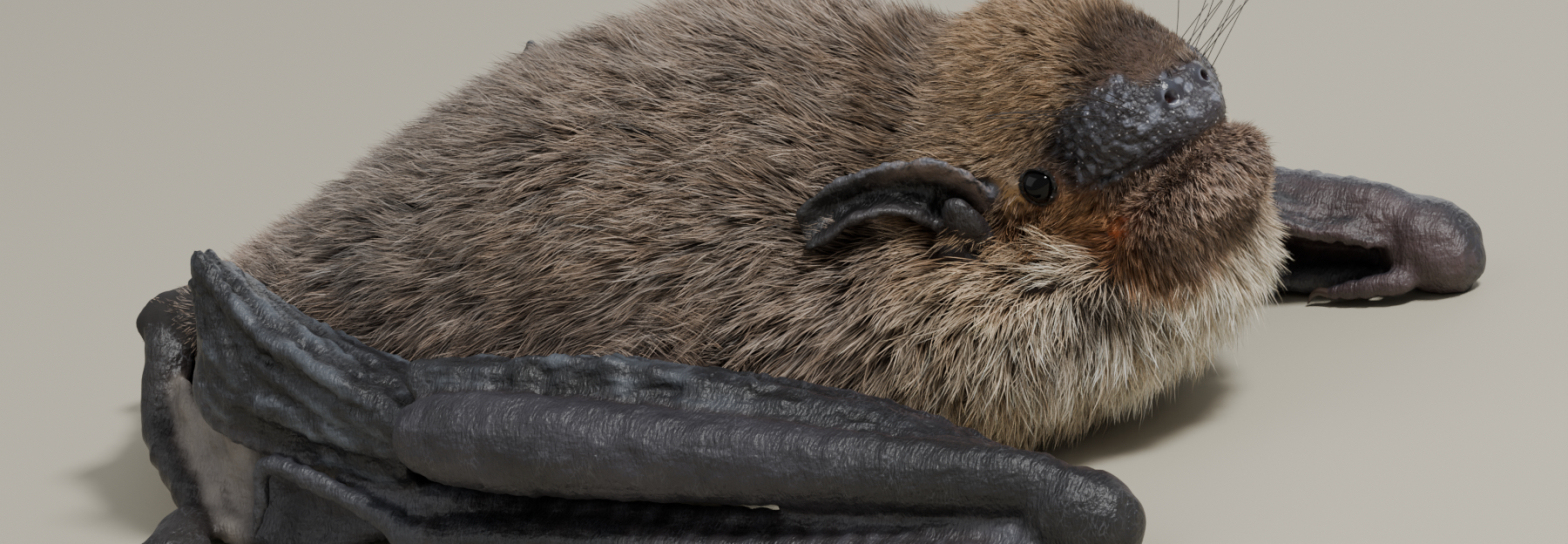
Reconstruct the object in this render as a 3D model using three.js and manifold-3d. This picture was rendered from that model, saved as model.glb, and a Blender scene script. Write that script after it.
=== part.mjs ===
// A pipistrelle bat resting on the floor, life size, in millimetres.
// +X points to the head, +Y to the animal's left and +Z up. The origin is on the floor, on the body's
// midline, on the flat that the breast and belly rest on.
// Furred parts reach out to the tips of the coat. The wings are folded, and the head is lifted and turned
// a little to its right.
import * as THREE from "three";
import { mergeVertices } from "three/addons/utils/BufferGeometryUtils.js";
import Module from "manifold-3d";

const wasm = await Module();
wasm.setup();

// Driving dimensions
const FOREARM = 31.5; // along the folded wing, from the back of the elbow to the front of the wrist
const FOREARM_ENDS = 4.2; // the part of that which lies beyond the centres of the two joints
const HEAD_PITCH = 30; // degrees, nose up
const HEAD_TURN = -14; // degrees, to the animal's right
const HEAD_TILT = 5; // degrees, right side down
const GAP = 0.25; // between neighbouring pieces
const MEMBRANE = 0.55; // thickness of wing and tail skin
const FINEST = 0.15; // facets that stand out less than this are merged
const FINEST_SMALL = 0.045; // the same on toes and other small pieces
const SMALL = 20; // cubic millimetres, less than any piece of the trunk
const NEAR = 0.002; // corners closer than this are one corner
const RIGHT = -1;
const LEFT = 1;

// Places shared by several pieces. y is the distance out from the midline, so it serves both sides.
const HEAD_AT = new THREE.Vector3(9.4, -1.2, 11.5); // midway between the eyes
const WRIST = [14.0, 14.3, 2.9];
const ELBOW_OUT = 16.2;
const ELBOW_UP = 5.4;
const SHOULDER = [-2.0, 7.5, 5.6];
const KNUCKLE = [-14.8, 14.6, 2.0]; // where the folded long finger bends back, below the elbow
const FINGER_JOINT = [-24.8, 13.8, 5.2]; // end of the long finger's first bone
const WING_TIP = [-25.6, 11.6, 11.6]; // end of the long finger, standing up beside the rump
const HIP = [-24.0, 4.0, 6.0];
const KNEE = [-31.2, 7.6, 6.8];
const ANKLE = [-27.0, 13.6, 1.1];
const TAIL_TURN = -36.6; // how far back the tail reaches before it curls under

// The elbow lies as far back as the forearm's length puts it.
const elbowBack = Math.sqrt(
  (FOREARM - FOREARM_ENDS) ** 2 - (ELBOW_OUT - WRIST[1]) ** 2 - (ELBOW_UP - WRIST[2]) ** 2,
);
const elbow = [WRIST[0] - elbowBack, ELBOW_OUT, ELBOW_UP];

const COLOURS = {
  back_fur: [0x5a4332, 0.95],
  head_fur: [0x6b4f39, 0.95],
  bare_skin: [0x2a2527, 0.55],
  wing_skin: [0x262427, 0.6],
  ear_skin: [0x241f1f, 0.6],
  eye: [0x08080a, 0.06],
  claw: [0x3a2f28, 0.35],
};

// ---- shapes --------------------------------------------------------------------------------------

const at = (place, side = 1) => new THREE.Vector3(place[0], place[1] * side, place[2]);
const line = (places, side = 1) => new THREE.CatmullRomCurve3(places.map((p) => at(p, side)));

// A closed body of oval rings along a curve. A station is [x, y, z, half width, half height up, half
// height down], and may end with a number that pinches the ring's upper half to a ridge (1) or leaves it
// round (2). The half sizes blend as squares, so an end with no size closes in a round cap. grow swells
// the whole body.
const LEAST = 0.0004; // square of the smallest half size
const ENDS = [0.004, 0.996]; // a curve's direction at its ends is read just inside them

function loft(stations, { rings = 14, sides = 12, grow = 0, upright = [0, 0, 1], square = 2 } = {}) {
  const middle = new THREE.CatmullRomCurve3(stations.map((s) => at(s)), false, "catmullrom", 0.5);
  const squares = stations.map((s) => new THREE.Vector3(s[3] ** 2, s[4] ** 2, s[5] ** 2));
  const size = new THREE.CatmullRomCurve3(squares, false, "catmullrom", 0.5);
  const ridges = new THREE.CatmullRomCurve3(stations.map((s) => new THREE.Vector3(s[6] ?? square, 0, 0)));
  const bend = (x, power) => Math.sign(x) * Math.abs(x) ** (2 / power);
  const points = [];
  for (let i = 0; i <= rings; i++) {
    const t = (1 - Math.cos((Math.PI * i) / rings)) / 2;
    const centre = middle.getPoint(t);
    const along = middle.getTangent(Math.min(Math.max(t, ENDS[0]), ENDS[1]));
    if (i === 0 || i === rings) {
      points.push(centre.addScaledVector(along, i === 0 ? -grow : grow));
      continue;
    }
    const across = new THREE.Vector3().crossVectors(new THREE.Vector3(...upright), along).normalize();
    const up = new THREE.Vector3().crossVectors(along, across);
    const half = size.getPoint(t);
    const [wide, above, below] = half.toArray().map((q) => Math.sqrt(Math.max(q, LEAST)) + grow);
    const ridge = ridges.getPoint(t).x;
    for (let j = 0; j < sides; j++) {
      const angle = (2 * Math.PI * (j + 0.5)) / sides;
      const [power, reach] = Math.sin(angle) > 0 ? [ridge, above] : [square, below];
      const offset = across.clone().multiplyScalar(bend(Math.cos(angle), power) * wide);
      points.push(centre.clone().add(offset).addScaledVector(up, bend(Math.sin(angle), power) * reach));
    }
  }
  const index = [];
  const last = points.length - 1;
  for (let j = 0; j < sides; j++) {
    const k = (j + 1) % sides;
    index.push(0, 1 + k, 1 + j);
    for (let i = 0; i < rings - 2; i++) {
      const a = 1 + i * sides;
      const b = a + sides;
      index.push(a + j, a + k, b + j, a + k, b + k, b + j);
    }
    index.push(last, last - sides + j, last - sides + k);
  }
  return new THREE.BufferGeometry().setFromPoints(points).setIndex(index);
}

// A limb of round section through places, each [x, y, z, radius].
const limb = (places, options = {}) =>
  loft(places.map(([x, y, z, r]) => [x, y, z, r, r, r]), { rings: 3 * places.length, sides: 8, ...options });

// A bent skin of even thickness. surface(u, v) gives its middle, with u and v from 0 to 1.
function skin(surface, { across = 10, along = 10, thick = MEMBRANE } = {}) {
  const small = 1e-3;
  const inside = (q) => Math.min(Math.max(q, small), 1 - small);
  const faces = [[], []];
  for (let i = 0; i <= across; i++)
    for (let j = 0; j <= along; j++) {
      const [u, v] = [i / across, j / along];
      const du = surface(inside(u) + small, v).sub(surface(inside(u) - small, v));
      const dv = surface(u, inside(v) + small).sub(surface(u, inside(v) - small));
      const normal = du.cross(dv).normalize().multiplyScalar(thick / 2);
      faces[0].push(surface(u, v).add(normal));
      faces[1].push(surface(u, v).sub(normal));
    }
  const row = along + 1;
  const count = faces[0].length;
  const index = [];
  const quad = (a, b, c, d) => index.push(a, b, c, a, c, d);
  for (let i = 0; i < across; i++)
    for (let j = 0; j < along; j++) {
      const a = i * row + j;
      quad(a, a + row, a + row + 1, a + 1);
      quad(count + a, count + a + 1, count + a + row + 1, count + a + row);
    }
  for (let i = 0; i < across; i++) {
    const [a, b] = [i * row, i * row + along];
    quad(a, count + a, count + a + row, a + row);
    quad(b, b + row, count + b + row, count + b);
  }
  for (let j = 0; j < along; j++) {
    const [a, b] = [j, across * row + j];
    quad(a, a + 1, count + a + 1, count + a);
    quad(b, count + b, count + b + 1, b + 1);
  }
  return new THREE.BufferGeometry().setFromPoints([...faces[0], ...faces[1]]).setIndex(index);
}

// ---- joining and cutting -------------------------------------------------------------------------

// A closed geometry as a solid that faces outwards, whichever side of the animal it is on.
function solid(geometry) {
  const bare = geometry.clone().deleteAttribute("normal").deleteAttribute("uv");
  const merged = mergeVertices(bare, NEAR);
  const place = merged.getAttribute("position");
  const corners = new Uint32Array(merged.index.array);
  const [a, b, c] = [0, 0, 0].map(() => new THREE.Vector3());
  let volume = 0;
  for (let i = 0; i < corners.length; i += 3) {
    a.fromBufferAttribute(place, corners[i]);
    b.fromBufferAttribute(place, corners[i + 1]);
    c.fromBufferAttribute(place, corners[i + 2]);
    volume += a.dot(b.cross(c));
  }
  if (volume < 0)
    for (let i = 0; i < corners.length; i += 3) {
      [corners[i + 1], corners[i + 2]] = [corners[i + 2], corners[i + 1]];
    }
  return new wasm.Manifold(new wasm.Mesh({ numProp: 3, vertProperties: place.array, triVerts: corners }));
}

const joined = (geometries) => geometries.map(solid).reduce((all, next) => all.add(next));
const cut = (body, ...tools) => tools.reduce((left, tool) => left.subtract(tool), body);
const largest = (body) => body.decompose().sort((a, b) => b.volume() - a.volume())[0];
const onFloor = (body) => body.trimByPlane([0, 0, 1], 0);

function geometryOf(body) {
  const shape = body.getMesh();
  const geometry = new THREE.BufferGeometry();
  geometry.setAttribute("position", new THREE.BufferAttribute(new Float32Array(shape.vertProperties), 3));
  geometry.setIndex(new THREE.BufferAttribute(new Uint32Array(shape.triVerts), 1));
  return geometry;
}

// Corners that nearly touch are merged before the largest body is taken, so that no splinter is left on it.
function mesh(name, body, look) {
  const kept = largest(body);
  const whole = largest(solid(geometryOf(kept.simplify(kept.volume() < SMALL ? FINEST_SMALL : FINEST))));
  const geometry = geometryOf(whole);
  geometry.computeVertexNormals();
  const [color, roughness] = COLOURS[look];
  const made = new THREE.Mesh(geometry, new THREE.MeshStandardMaterial({ color, roughness, metalness: 0 }));
  made.name = name;
  return made;
}

// The same piece on the other side of the midline.
function twin(made, name) {
  const other = made.clone();
  other.geometry = made.geometry.clone().scale(1, -1, 1);
  const corners = other.geometry.index.array;
  for (let i = 0; i < corners.length; i += 3) {
    [corners[i + 1], corners[i + 2]] = [corners[i + 2], corners[i + 1]];
  }
  other.geometry.computeVertexNormals();
  other.name = name;
  return other;
}

const bat = new THREE.Group();
bat.name = "pipistrelle_bat";
const sideName = (side) => (side === RIGHT ? "right" : "left");

// ---- head ----------------------------------------------------------------------------------------
// Built in its own frame: +X to the nose, the origin midway between the eyes.

const headGroup = new THREE.Group();
headGroup.position.copy(HEAD_AT);
headGroup.rotation.set(
  THREE.MathUtils.degToRad(HEAD_TILT),
  THREE.MathUtils.degToRad(-HEAD_PITCH),
  THREE.MathUtils.degToRad(HEAD_TURN),
  "ZYX",
);
headGroup.updateMatrix();
bat.add(headGroup);

const EYE_RADIUS = 0.72;
const EYE_AT = [0.05, 3.62, 0];
const MOUTH_FRONT = [5.2, -1.3]; // x and z of the lips under the nose
const MOUTH_BACK = -2.6; // how far back the jaw is parted from the skull
const MOUTH_SLOPE = 0.05; // fall of the mouth line towards the ear

// Each station is x, y, z, half width, half height up and half height down.
const headStations = [
  [5.95, 0, -0.35, 0, 0, 0],
  [5.5, 0, -0.6, 1.6, 1.35, 1.7],
  [4.7, 0, -0.4, 2.5, 2.6, 2.4],
  [3.3, 0, 0.0, 3.3, 4.0, 3.4],
  [1.5, 0, 0.6, 3.7, 5.3, 4.4],
  [-0.4, 0, 0.9, 4.15, 6.2, 4.9],
  [-3, 0, 0.7, 5.4, 7.0, 5.2],
  [-6, 0, 0.4, 6.6, 7.4, 5.4],
  [-9, 0, 0, 6.4, 6.7, 5.0],
  [-11.5, 0, -0.6, 4.5, 4.4, 3.6],
  [-13, 0, -1, 0, 0, 0],
];
// The chin and jaw stand out by the depth of their fuzz.
const chinStations = [
  [-1.5, 0, -3.2, 0, 0, 0],
  [0.6, 0, -3.2, 3.2, 1.3, 1.7],
  [2.6, 0, -3.3, 3.7, 1.7, 2.2],
  [4.2, 0, -3.2, 3.5, 1.75, 2.1],
  [5.4, 0, -3.0, 2.7, 1.55, 1.6],
  [6.1, 0, -3.0, 0, 0, 0],
];
const headShape = (grow) =>
  joined([
    loft(headStations, { rings: 12, sides: 14, grow, square: 2.1 }),
    loft(chinStations, { rings: 8, sides: 12, grow, square: 2.3 }),
  ]);

// Each nostril is a short tube that looks forwards and a little to its own side.
const nostrils = (grow) =>
  joined([
    ...[RIGHT, LEFT].map((side) =>
      limb(
        [
          [4.6, 0.75 * side, 0.1, 0],
          [5.3, 0.8 * side, 0.15, 0.56],
          [5.85, 0.92 * side, 0.1, 0.56],
          [6.2, 1.0 * side, 0.05, 0],
        ],
        { rings: 5, sides: 6, grow },
      ),
    ),
    loft(
      [
        [5.45, -1.1, 0.0, 0, 0, 0],
        [5.65, 0, 0.0, 0.42, 0.42, 0.42],
        [5.45, 1.1, 0.0, 0, 0, 0],
      ],
      { rings: 4, sides: 6, grow },
    ),
  ]);

const eyeball = (side, grow) =>
  solid(new THREE.SphereGeometry(EYE_RADIUS + grow, 10, 7).translate(EYE_AT[0], EYE_AT[1] * side, EYE_AT[2]));

// The ear is a cup laid back along the head, open forwards and outwards. u runs from its root to its tip,
// and v from the front rim, which is uppermost, round the hollow to the rear rim.
const earFront = line([
  [-1.5, 4.5, 0.4],
  [-0.7, 5.5, 1.9],
  [-1.2, 6.3, 3.2],
  [-3.0, 7.4, 4.2],
  [-4.9, 8.4, 4.7],
  [-6.5, 9.2, 4.4],
]);
const earRear = line([
  [-4.2, 5.0, -0.8],
  [-3.2, 6.6, 0.9],
  [-3.0, 8.0, 2.3],
  [-4.2, 8.9, 2.9],
  [-5.7, 9.35, 2.8],
  [-6.7, 9.5, 3.1],
]);
const EAR_DEPTH = 2.0;
const EAR_THICK = 0.5;
const EAR_INSET = 0.045; // share of the ear's surface left free at each rim
const earDeep = new THREE.Vector3(-0.64, -0.72, -0.1).normalize(); // from the opening into the hollow

function earSurface(u, v) {
  const hollow = EAR_DEPTH * Math.sin(Math.PI * v) ** 0.8 * (1 - 0.75 * u ** 3);
  return earFront.getPoint(u).lerp(earRear.getPoint(u), v).addScaledVector(earDeep, hollow);
}
// The ear on one side. room makes the space it stands in, which is thicker and reaches past its rims.
function ear(side, room = 0) {
  const inset = room > 0 ? 0 : EAR_INSET;
  const within = (q) => inset + (1 - 2 * inset) * q;
  const surface = (u, v) => {
    const place = earSurface(within(u), within(v));
    return place.setY(place.y * side);
  };
  return solid(skin(surface, { across: 6, along: 5, thick: EAR_THICK + 2 * room }));
}

// A short blunt blade that stands in front of the ear's hollow.
const tragus = (side, grow = 0) =>
  solid(
    loft(
      [
        [-2.8, 4.7 * side, -1.2, 0, 0, 0],
        [-2.7, 5.1 * side, -0.6, 0.5, 0.62, 0.62],
        [-2.35, 5.6 * side, 0.3, 0.55, 0.8, 0.8],
        [-2.0, 5.95 * side, 1.1, 0.4, 0.65, 0.65],
        [-1.9, 6.1 * side, 1.65, 0, 0, 0],
      ],
      { rings: 8, sides: 8, grow, upright: [1, 0, 0] },
    ),
  );

// A flat wedge of air the height of the gap, which parts the jaw along the lips and behind its hinge.
function jawParting() {
  const reach = 12;
  const [lipX, lipZ] = MOUTH_FRONT;
  const backZ = lipZ - MOUTH_SLOPE * (lipX - MOUTH_BACK);
  const lips = new THREE.BoxGeometry(reach, 2 * reach, GAP).translate(reach / 2, 0, 0);
  lips.rotateY(-MOUTH_SLOPE).translate(MOUTH_BACK, 0, backZ);
  const hinge = new THREE.BoxGeometry(GAP, 2 * reach, reach).translate(0, 0, -reach / 2);
  hinge.rotateY(-0.35).translate(MOUTH_BACK, 0, backZ + GAP / 2);
  return solid(lips).add(solid(hinge));
}

const faceRoom = [RIGHT, LEFT].flatMap((side) => [
  eyeball(side, GAP / 2),
  ear(side, 1.3 * GAP),
  tragus(side, GAP),
]);
const headPieces = cut(headShape(0), nostrils(GAP), jawParting(), ...faceRoom)
  .decompose()
  .sort((a, b) => b.volume() - a.volume());
headGroup.add(mesh("head", headPieces[0], "head_fur"));
headGroup.add(mesh("lower_jaw", headPieces[1], "head_fur"));
headGroup.add(mesh("nose", nostrils(0), "bare_skin"));
for (const side of [RIGHT, LEFT]) {
  headGroup.add(mesh(`${sideName(side)}_eye`, eyeball(side, 0), "eye"));
  headGroup.add(mesh(`${sideName(side)}_ear`, cut(ear(side), tragus(side, GAP)), "ear_skin"));
  headGroup.add(mesh(`${sideName(side)}_tragus`, tragus(side), "ear_skin"));
}

// ---- body ----------------------------------------------------------------------------------------

const bodyStations = [
  [-34.6, 0, 4.6, 0, 0, 0],
  [-33.2, 0, 4.8, 3.4, 2.0, 1.9],
  [-30.4, 0, 5.0, 5.8, 3.4, 2.7],
  [-27.0, 0, 5.3, 7.4, 4.6, 3.3],
  [-22.0, 0, 6.0, 8.9, 6.7, 4.6],
  [-16.0, 0, 6.6, 10.2, 8.9, 5.8],
  [-9.0, 0, 7.0, 10.9, 10.2, 7.6],
  [-2.0, 0, 7.0, 10.9, 10.5, 8.2, 1.6],
  [3.6, 0, 7.0, 9.8, 9.0, 8.2, 1.3],
  [8.2, 0.3, 7.3, 8.5, 4.2, 6.5, 1.5],
  [11.4, 0.8, 8.2, 6.4, 3.6, 5.2, 1.8],
  [13.2, 1.2, 9.2, 4.2, 2.6, 3.9],
  [14.6, 1.4, 9.8, 0, 0, 0],
];
const bodyShape = (grow) => solid(loft(bodyStations, { rings: 18, sides: 18, grow, square: 2.15 }));
const RUMP_X = -19;
const WAIST_X = -8;
const NECK_X = 5.0;
const NECK_LEAN = 0.32; // the neck's rear face leans with the lifted head

// A thin upright slice across the body that parts it at x.
function slice(x, lean = 0) {
  const plate = new THREE.BoxGeometry(GAP, 60, 60);
  plate.rotateY(-lean);
  return solid(plate.translate(x, 0, 8));
}

const placed = (body) => body.transform(headGroup.matrix.toArray());
const headRoom = [headShape(GAP), ...faceRoom].map(placed);

// ---- legs and tail -------------------------------------------------------------------------------

const toward = (from, to, share, side) => at(from, side).lerp(at(to, side), share).toArray();
const leg = {
  thigh: (side, grow = 0) =>
    solid(
      limb(
        [
          [...at(HIP, side).toArray(), 0],
          [...toward(HIP, KNEE, 0.25, side), 2.4],
          [...toward(HIP, KNEE, 0.7, side), 1.9],
          [...at(KNEE, side).toArray(), 1.3],
          [KNEE[0] - 1.1, (KNEE[1] + 0.5) * side, KNEE[2] - 0.2, 0],
        ],
        { grow, rings: 11 },
      ),
    ),
  shin: (side, grow = 0) =>
    solid(
      limb(
        [
          [KNEE[0] - 0.4, (KNEE[1] + 0.3) * side, KNEE[2] + 0.4, 0],
          [...toward(KNEE, ANKLE, 0.15, side), 0.95],
          [KNEE[0] + 1.0, (KNEE[1] + 3.0) * side, KNEE[2] - 3.5, 0.72],
          [...toward(KNEE, ANKLE, 0.94, side), 0.62],
          [...at(ANKLE, side).toArray(), 0],
        ],
        { grow, rings: 9, sides: 7 },
      ),
    ),
};

// The sole lies on the floor and the five toes point outwards, each ending in a hooked claw.
const FOOT = { heel: [-26.8, 14.3, 0.9], length: 6.0, heading: 72, spread: 11, toes: 5, toeRoot: 1.4 };
function foot(side, grow = 0) {
  const heel = at(FOOT.heel, side);
  const heading = (degrees) => {
    const a = THREE.MathUtils.degToRad(degrees);
    return new THREE.Vector3(Math.cos(a), Math.sin(a) * side, 0);
  };
  const ahead = heading(FOOT.heading);
  const beside = new THREE.Vector3(-ahead.y, ahead.x, 0);
  const sole = [
    [...heel.clone().addScaledVector(ahead, -0.9).toArray(), 0, 0, 0],
    [...heel.toArray(), 0.85, 0.8, 1.15],
    [...heel.clone().addScaledVector(ahead, 1.9).toArray(), 1.25, 0.6, 1.15],
    [...heel.clone().addScaledVector(ahead, 3.4).toArray(), 0, 0, 0],
  ];
  const toes = Array.from({ length: FOOT.toes }, (_, i) => {
    const rank = i - (FOOT.toes - 1) / 2;
    const way = heading(FOOT.heading + FOOT.spread * rank);
    const root = heel.clone().addScaledVector(ahead, FOOT.toeRoot);
    root.addScaledVector(beside, 0.42 * rank * side);
    const reach = FOOT.length - FOOT.toeRoot - 0.25 * Math.abs(rank);
    const step = (share, z, r) => [...root.clone().addScaledVector(way, reach * share).setZ(z).toArray(), r];
    const places = [step(0, 0.8, 0), step(0.25, 0.75, 0.42), step(0.8, 0.62, 0.32), step(1, 0.15, 0)];
    return limb(places, { rings: 3, sides: 4, grow });
  });
  return onFloor(joined([loft(sole, { rings: 4, sides: 8, grow }), ...toes]));
}

// The tail runs back from the rump, then curls down and forwards under the body.
const tailLine = line([
  [-31.6, 0, 4.7],
  [-34.6, 0, 4.5],
  [TAIL_TURN, 0, 3.4],
  [TAIL_TURN + 0.4, 0, 1.5],
  [-33.0, 0, 0.6],
  [-27.0, 0, 0.5],
  [-21.0, 0, 0.45],
]);
function tail(grow = 0) {
  const steps = 9;
  const places = Array.from({ length: steps }, (_, i) => {
    const t = i / (steps - 1);
    const p = tailLine.getPoint(t);
    const radius = i === 0 || i === steps - 1 ? 0 : 1.05 - 0.5 * t;
    return [p.x, p.y, Math.max(p.z, radius * 0.9), radius];
  });
  return onFloor(solid(limb(places, { rings: 14, sides: 6, grow })));
}

// The tail skin is stretched from the tail to each leg. Its free edge runs from the tail's end to the ankle.
function tailSkin(side) {
  const places = [
    [-31.6, 3.2, 5.6],
    [KNEE[0] - 0.4, KNEE[1], KNEE[2] - 0.5],
    [KNEE[0] + 0.8, KNEE[1] + 3.0, KNEE[2] - 3.4],
    [ANKLE[0] - 0.2, ANKLE[1] - 0.3, ANKLE[2] - 0.3],
    [ANKLE[0] + 2.6, ANKLE[1] - 1.6, 0.4],
  ];
  const legLine = line(places, side);
  return (u, v) => {
    const place = tailLine.getPoint(0.04 + 0.94 * v).lerp(legLine.getPoint(v), 0.03 + 0.97 * u);
    place.z = Math.max(place.z - 0.8 * Math.sin(Math.PI * u) * Math.sin(Math.PI * v), 0.32);
    return place;
  };
}

// ---- wings ---------------------------------------------------------------------------------------

const wing = {
  upperArm: (side, grow = 0) =>
    solid(
      limb(
        [
          [...at(SHOULDER, side).toArray(), 0],
          [...toward(SHOULDER, elbow, 0.2, side), 1.8],
          [...toward(SHOULDER, elbow, 0.6, side), 1.35],
          [...toward(SHOULDER, elbow, 0.88, side), 1.15],
          [...at(elbow, side).toArray(), 0],
        ],
        { grow, sides: 10 },
      ),
    ),
  forearm: (side, grow = 0) => {
    const along = (share, radius) => {
      const p = at(elbow, side).lerp(at(WRIST, side), share);
      return [p.x, p.y, p.z, radius * 0.92, radius, radius];
    };
    const shares = [-0.055, 0.0, 0.14, 0.4, 0.7, 0.92, 1];
    const radii = [0, 1.55, 1.95, 1.75, 1.45, 1.3, 0];
    const stations = shares.map((share, i) => along(share, radii[i]));
    return solid(loft(stations, { rings: 13, sides: 10, grow }));
  },
  wrist: (side, grow = 0) =>
    onFloor(
      solid(
        loft(
          [
            [11.9, 14.5 * side, 2.6, 0, 0, 0],
            [12.9, 14.5 * side, 2.3, 1.45, 1.55, 1.9],
            [14.2, 14.4 * side, 1.9, 1.75, 1.75, 2.1],
            [15.4, 14.0 * side, 1.4, 1.35, 1.3, 1.6],
            [16.2, 13.7 * side, 1.2, 0, 0, 0],
          ],
          { rings: 8, sides: 10, grow },
        ),
      ),
    ),
  // The thumb is tucked back along the inner side of the wrist and ends in a hooked claw.
  thumb: (side, grow = 0) =>
    onFloor(
      solid(
        limb(
          [
            [14.2, 13.2 * side, 1.0, 0],
            [13.2, 12.6 * side, 0.85, 0.5],
            [11.7, 12.4 * side, 0.7, 0.42],
            [10.3, 12.4 * side, 0.55, 0.34],
            [9.2, 12.3 * side, 0.25, 0],
          ],
          { rings: 9, sides: 6, grow },
        ),
      ),
    ),
};

// Three long fingers run back from the wrist, side by side under the forearm, bend at the knuckles, and fold on.
const FINGERS = {
  3: {
    start: [12.6, 15.3, 1.2],
    knuckle: KNUCKLE,
    joint: FINGER_JOINT,
    end: WING_TIP,
    radii: [0.66, 0.78, 0.52, 0.46, 0.34],
  },
  4: {
    start: [12.8, 16.4, 0.85],
    knuckle: [-13.4, 16.3, 1.1],
    joint: [-21.4, 15.3, 3.8],
    end: [-22.9, 15.9, 0.5],
    radii: [0.6, 0.72, 0.48, 0.42, 0.32],
  },
  5: {
    start: [12.0, 13.6, 0.7],
    knuckle: [-12.0, 13.2, 0.9],
    joint: [-18.6, 12.6, 2.6],
    end: [-21.2, 13.4, 0.5],
    radii: [0.56, 0.66, 0.44, 0.38, 0.32],
  },
};
function finger(number, side, grow = 0) {
  const { start, knuckle, joint, end, radii } = FINGERS[number];
  const put = (from, to, share, r) => {
    const [x, y, z] = toward(from, to, share, side);
    return [x, y, Math.max(z, r * 0.9), r];
  };
  return onFloor(
    solid(
      limb(
        [
          put(start, knuckle, -0.02, 0),
          put(start, knuckle, 0.06, radii[0]),
          put(start, knuckle, 0.5, radii[0] * 0.9),
          put(start, knuckle, 1, radii[1]),
          put(knuckle, joint, 0.4, radii[2]),
          put(knuckle, joint, 1, radii[3]),
          put(joint, end, 0.5, radii[4]),
          put(joint, end, 1, 0),
        ],
        { rings: 17, sides: 6, grow },
      ),
    ),
  );
}

// The hand's skin hangs in folds between the long bones and closes the space under the forearm.
const handSkin = (side) =>
  onFloor(
    solid(
      loft(
        [
          [11.8, 14.9 * side, 0.9, 0, 0, 0],
          [9.5, 15.2 * side, 0.95, 1.4, 0.6, 0.95],
          [0.0, 15.2 * side, 1.0, 1.9, 0.75, 1.0],
          [-9.0, 15.0 * side, 1.1, 2.2, 1.0, 1.1],
          [-13.0, 14.9 * side, 1.1, 2.0, 0.9, 1.1],
          [-15.5, 14.8 * side, 1.2, 0, 0, 0],
        ],
        { rings: 7, sides: 6, square: 2.6 },
      ),
    ),
  );

// A wing skin that rises from its outer edge to a crest and falls again to its inner edge, drawn up in pleats.
const PLEATS = 2.5;
const PLEAT_HEIGHT = 0.3;
function folded(outer, crest, inner) {
  return (u, v) => {
    const place = outer.getPoint(v).multiplyScalar((1 - u) * (1 - 2 * u));
    place.addScaledVector(crest.getPoint(v), 4 * u * (1 - u));
    place.addScaledVector(inner.getPoint(v), u * (2 * u - 1));
    place.z += PLEAT_HEIGHT * Math.sin(Math.PI * u) * Math.sin(2 * Math.PI * PLEATS * u);
    return place;
  };
}

// Behind the elbow it closes the space between the body and the folded long finger, whose tip the crest meets.
const flankSkin = (side) =>
  folded(
    line([[-15.0, 14.7, 2.9], [-20.0, 14.2, 4.2], [-24.4, 13.6, 6.0], [-25.4, 12.0, 10.0]], side),
    line([[-13.9, 15.0, 5.4], [-18.2, 14.1, 6.9], [-22.0, 12.9, 8.7], [-25.2, 11.5, 11.0]], side),
    line([[-9.5, 11.0, 5.0], [-14.8, 9.6, 4.6], [-20.4, 8.4, 5.0], [-25.6, 7.0, 6.0]], side),
  );

// Below the folded fingers the skin goes on to the shin, and hangs to the floor in front of it.
function heelSkin(side) {
  const outer = line([[-16.0, 14.4, 1.8], [-20.2, 14.0, 3.1], [-24.4, 13.1, 4.6]], side);
  const inner = line([[-20.0, 15.2, 0.4], [-25.2, 14.6, 0.5], [-28.0, 12.0, 2.4], [-30.6, 8.6, 5.6]], side);
  return (u, v) => {
    const place = outer.getPoint(v).lerp(inner.getPoint(v), u);
    place.z = Math.max(place.z - 0.7 * Math.sin(Math.PI * u), 0.3);
    return place;
  };
}

// Over the elbow the skin is bunched up between forearm and body. Farther on it is stretched to a free edge
// that runs from the body to the wrist.
const foreSkin = (side) =>
  folded(
    line([[-13.6, 15.4, 6.2], [-5.0, 14.9, 4.9], [4.0, 14.6, 4.0], [12.4, 14.3, 3.2]], side),
    line([[-14.4, 14.1, 7.4], [-7.0, 13.7, 7.3], [2.5, 13.2, 5.6], [12.4, 13.4, 3.1]], side),
    line([[-10.8, 11.6, 5.6], [-3.0, 10.4, 5.1], [5.5, 10.9, 4.3], [12.8, 12.6, 2.2]], side),
  );

// ---- putting the animal together -----------------------------------------------------------------

const bodyRoom = bodyShape(GAP);
const sheet = (surface, detail) => solid(skin(surface, detail));

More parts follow.
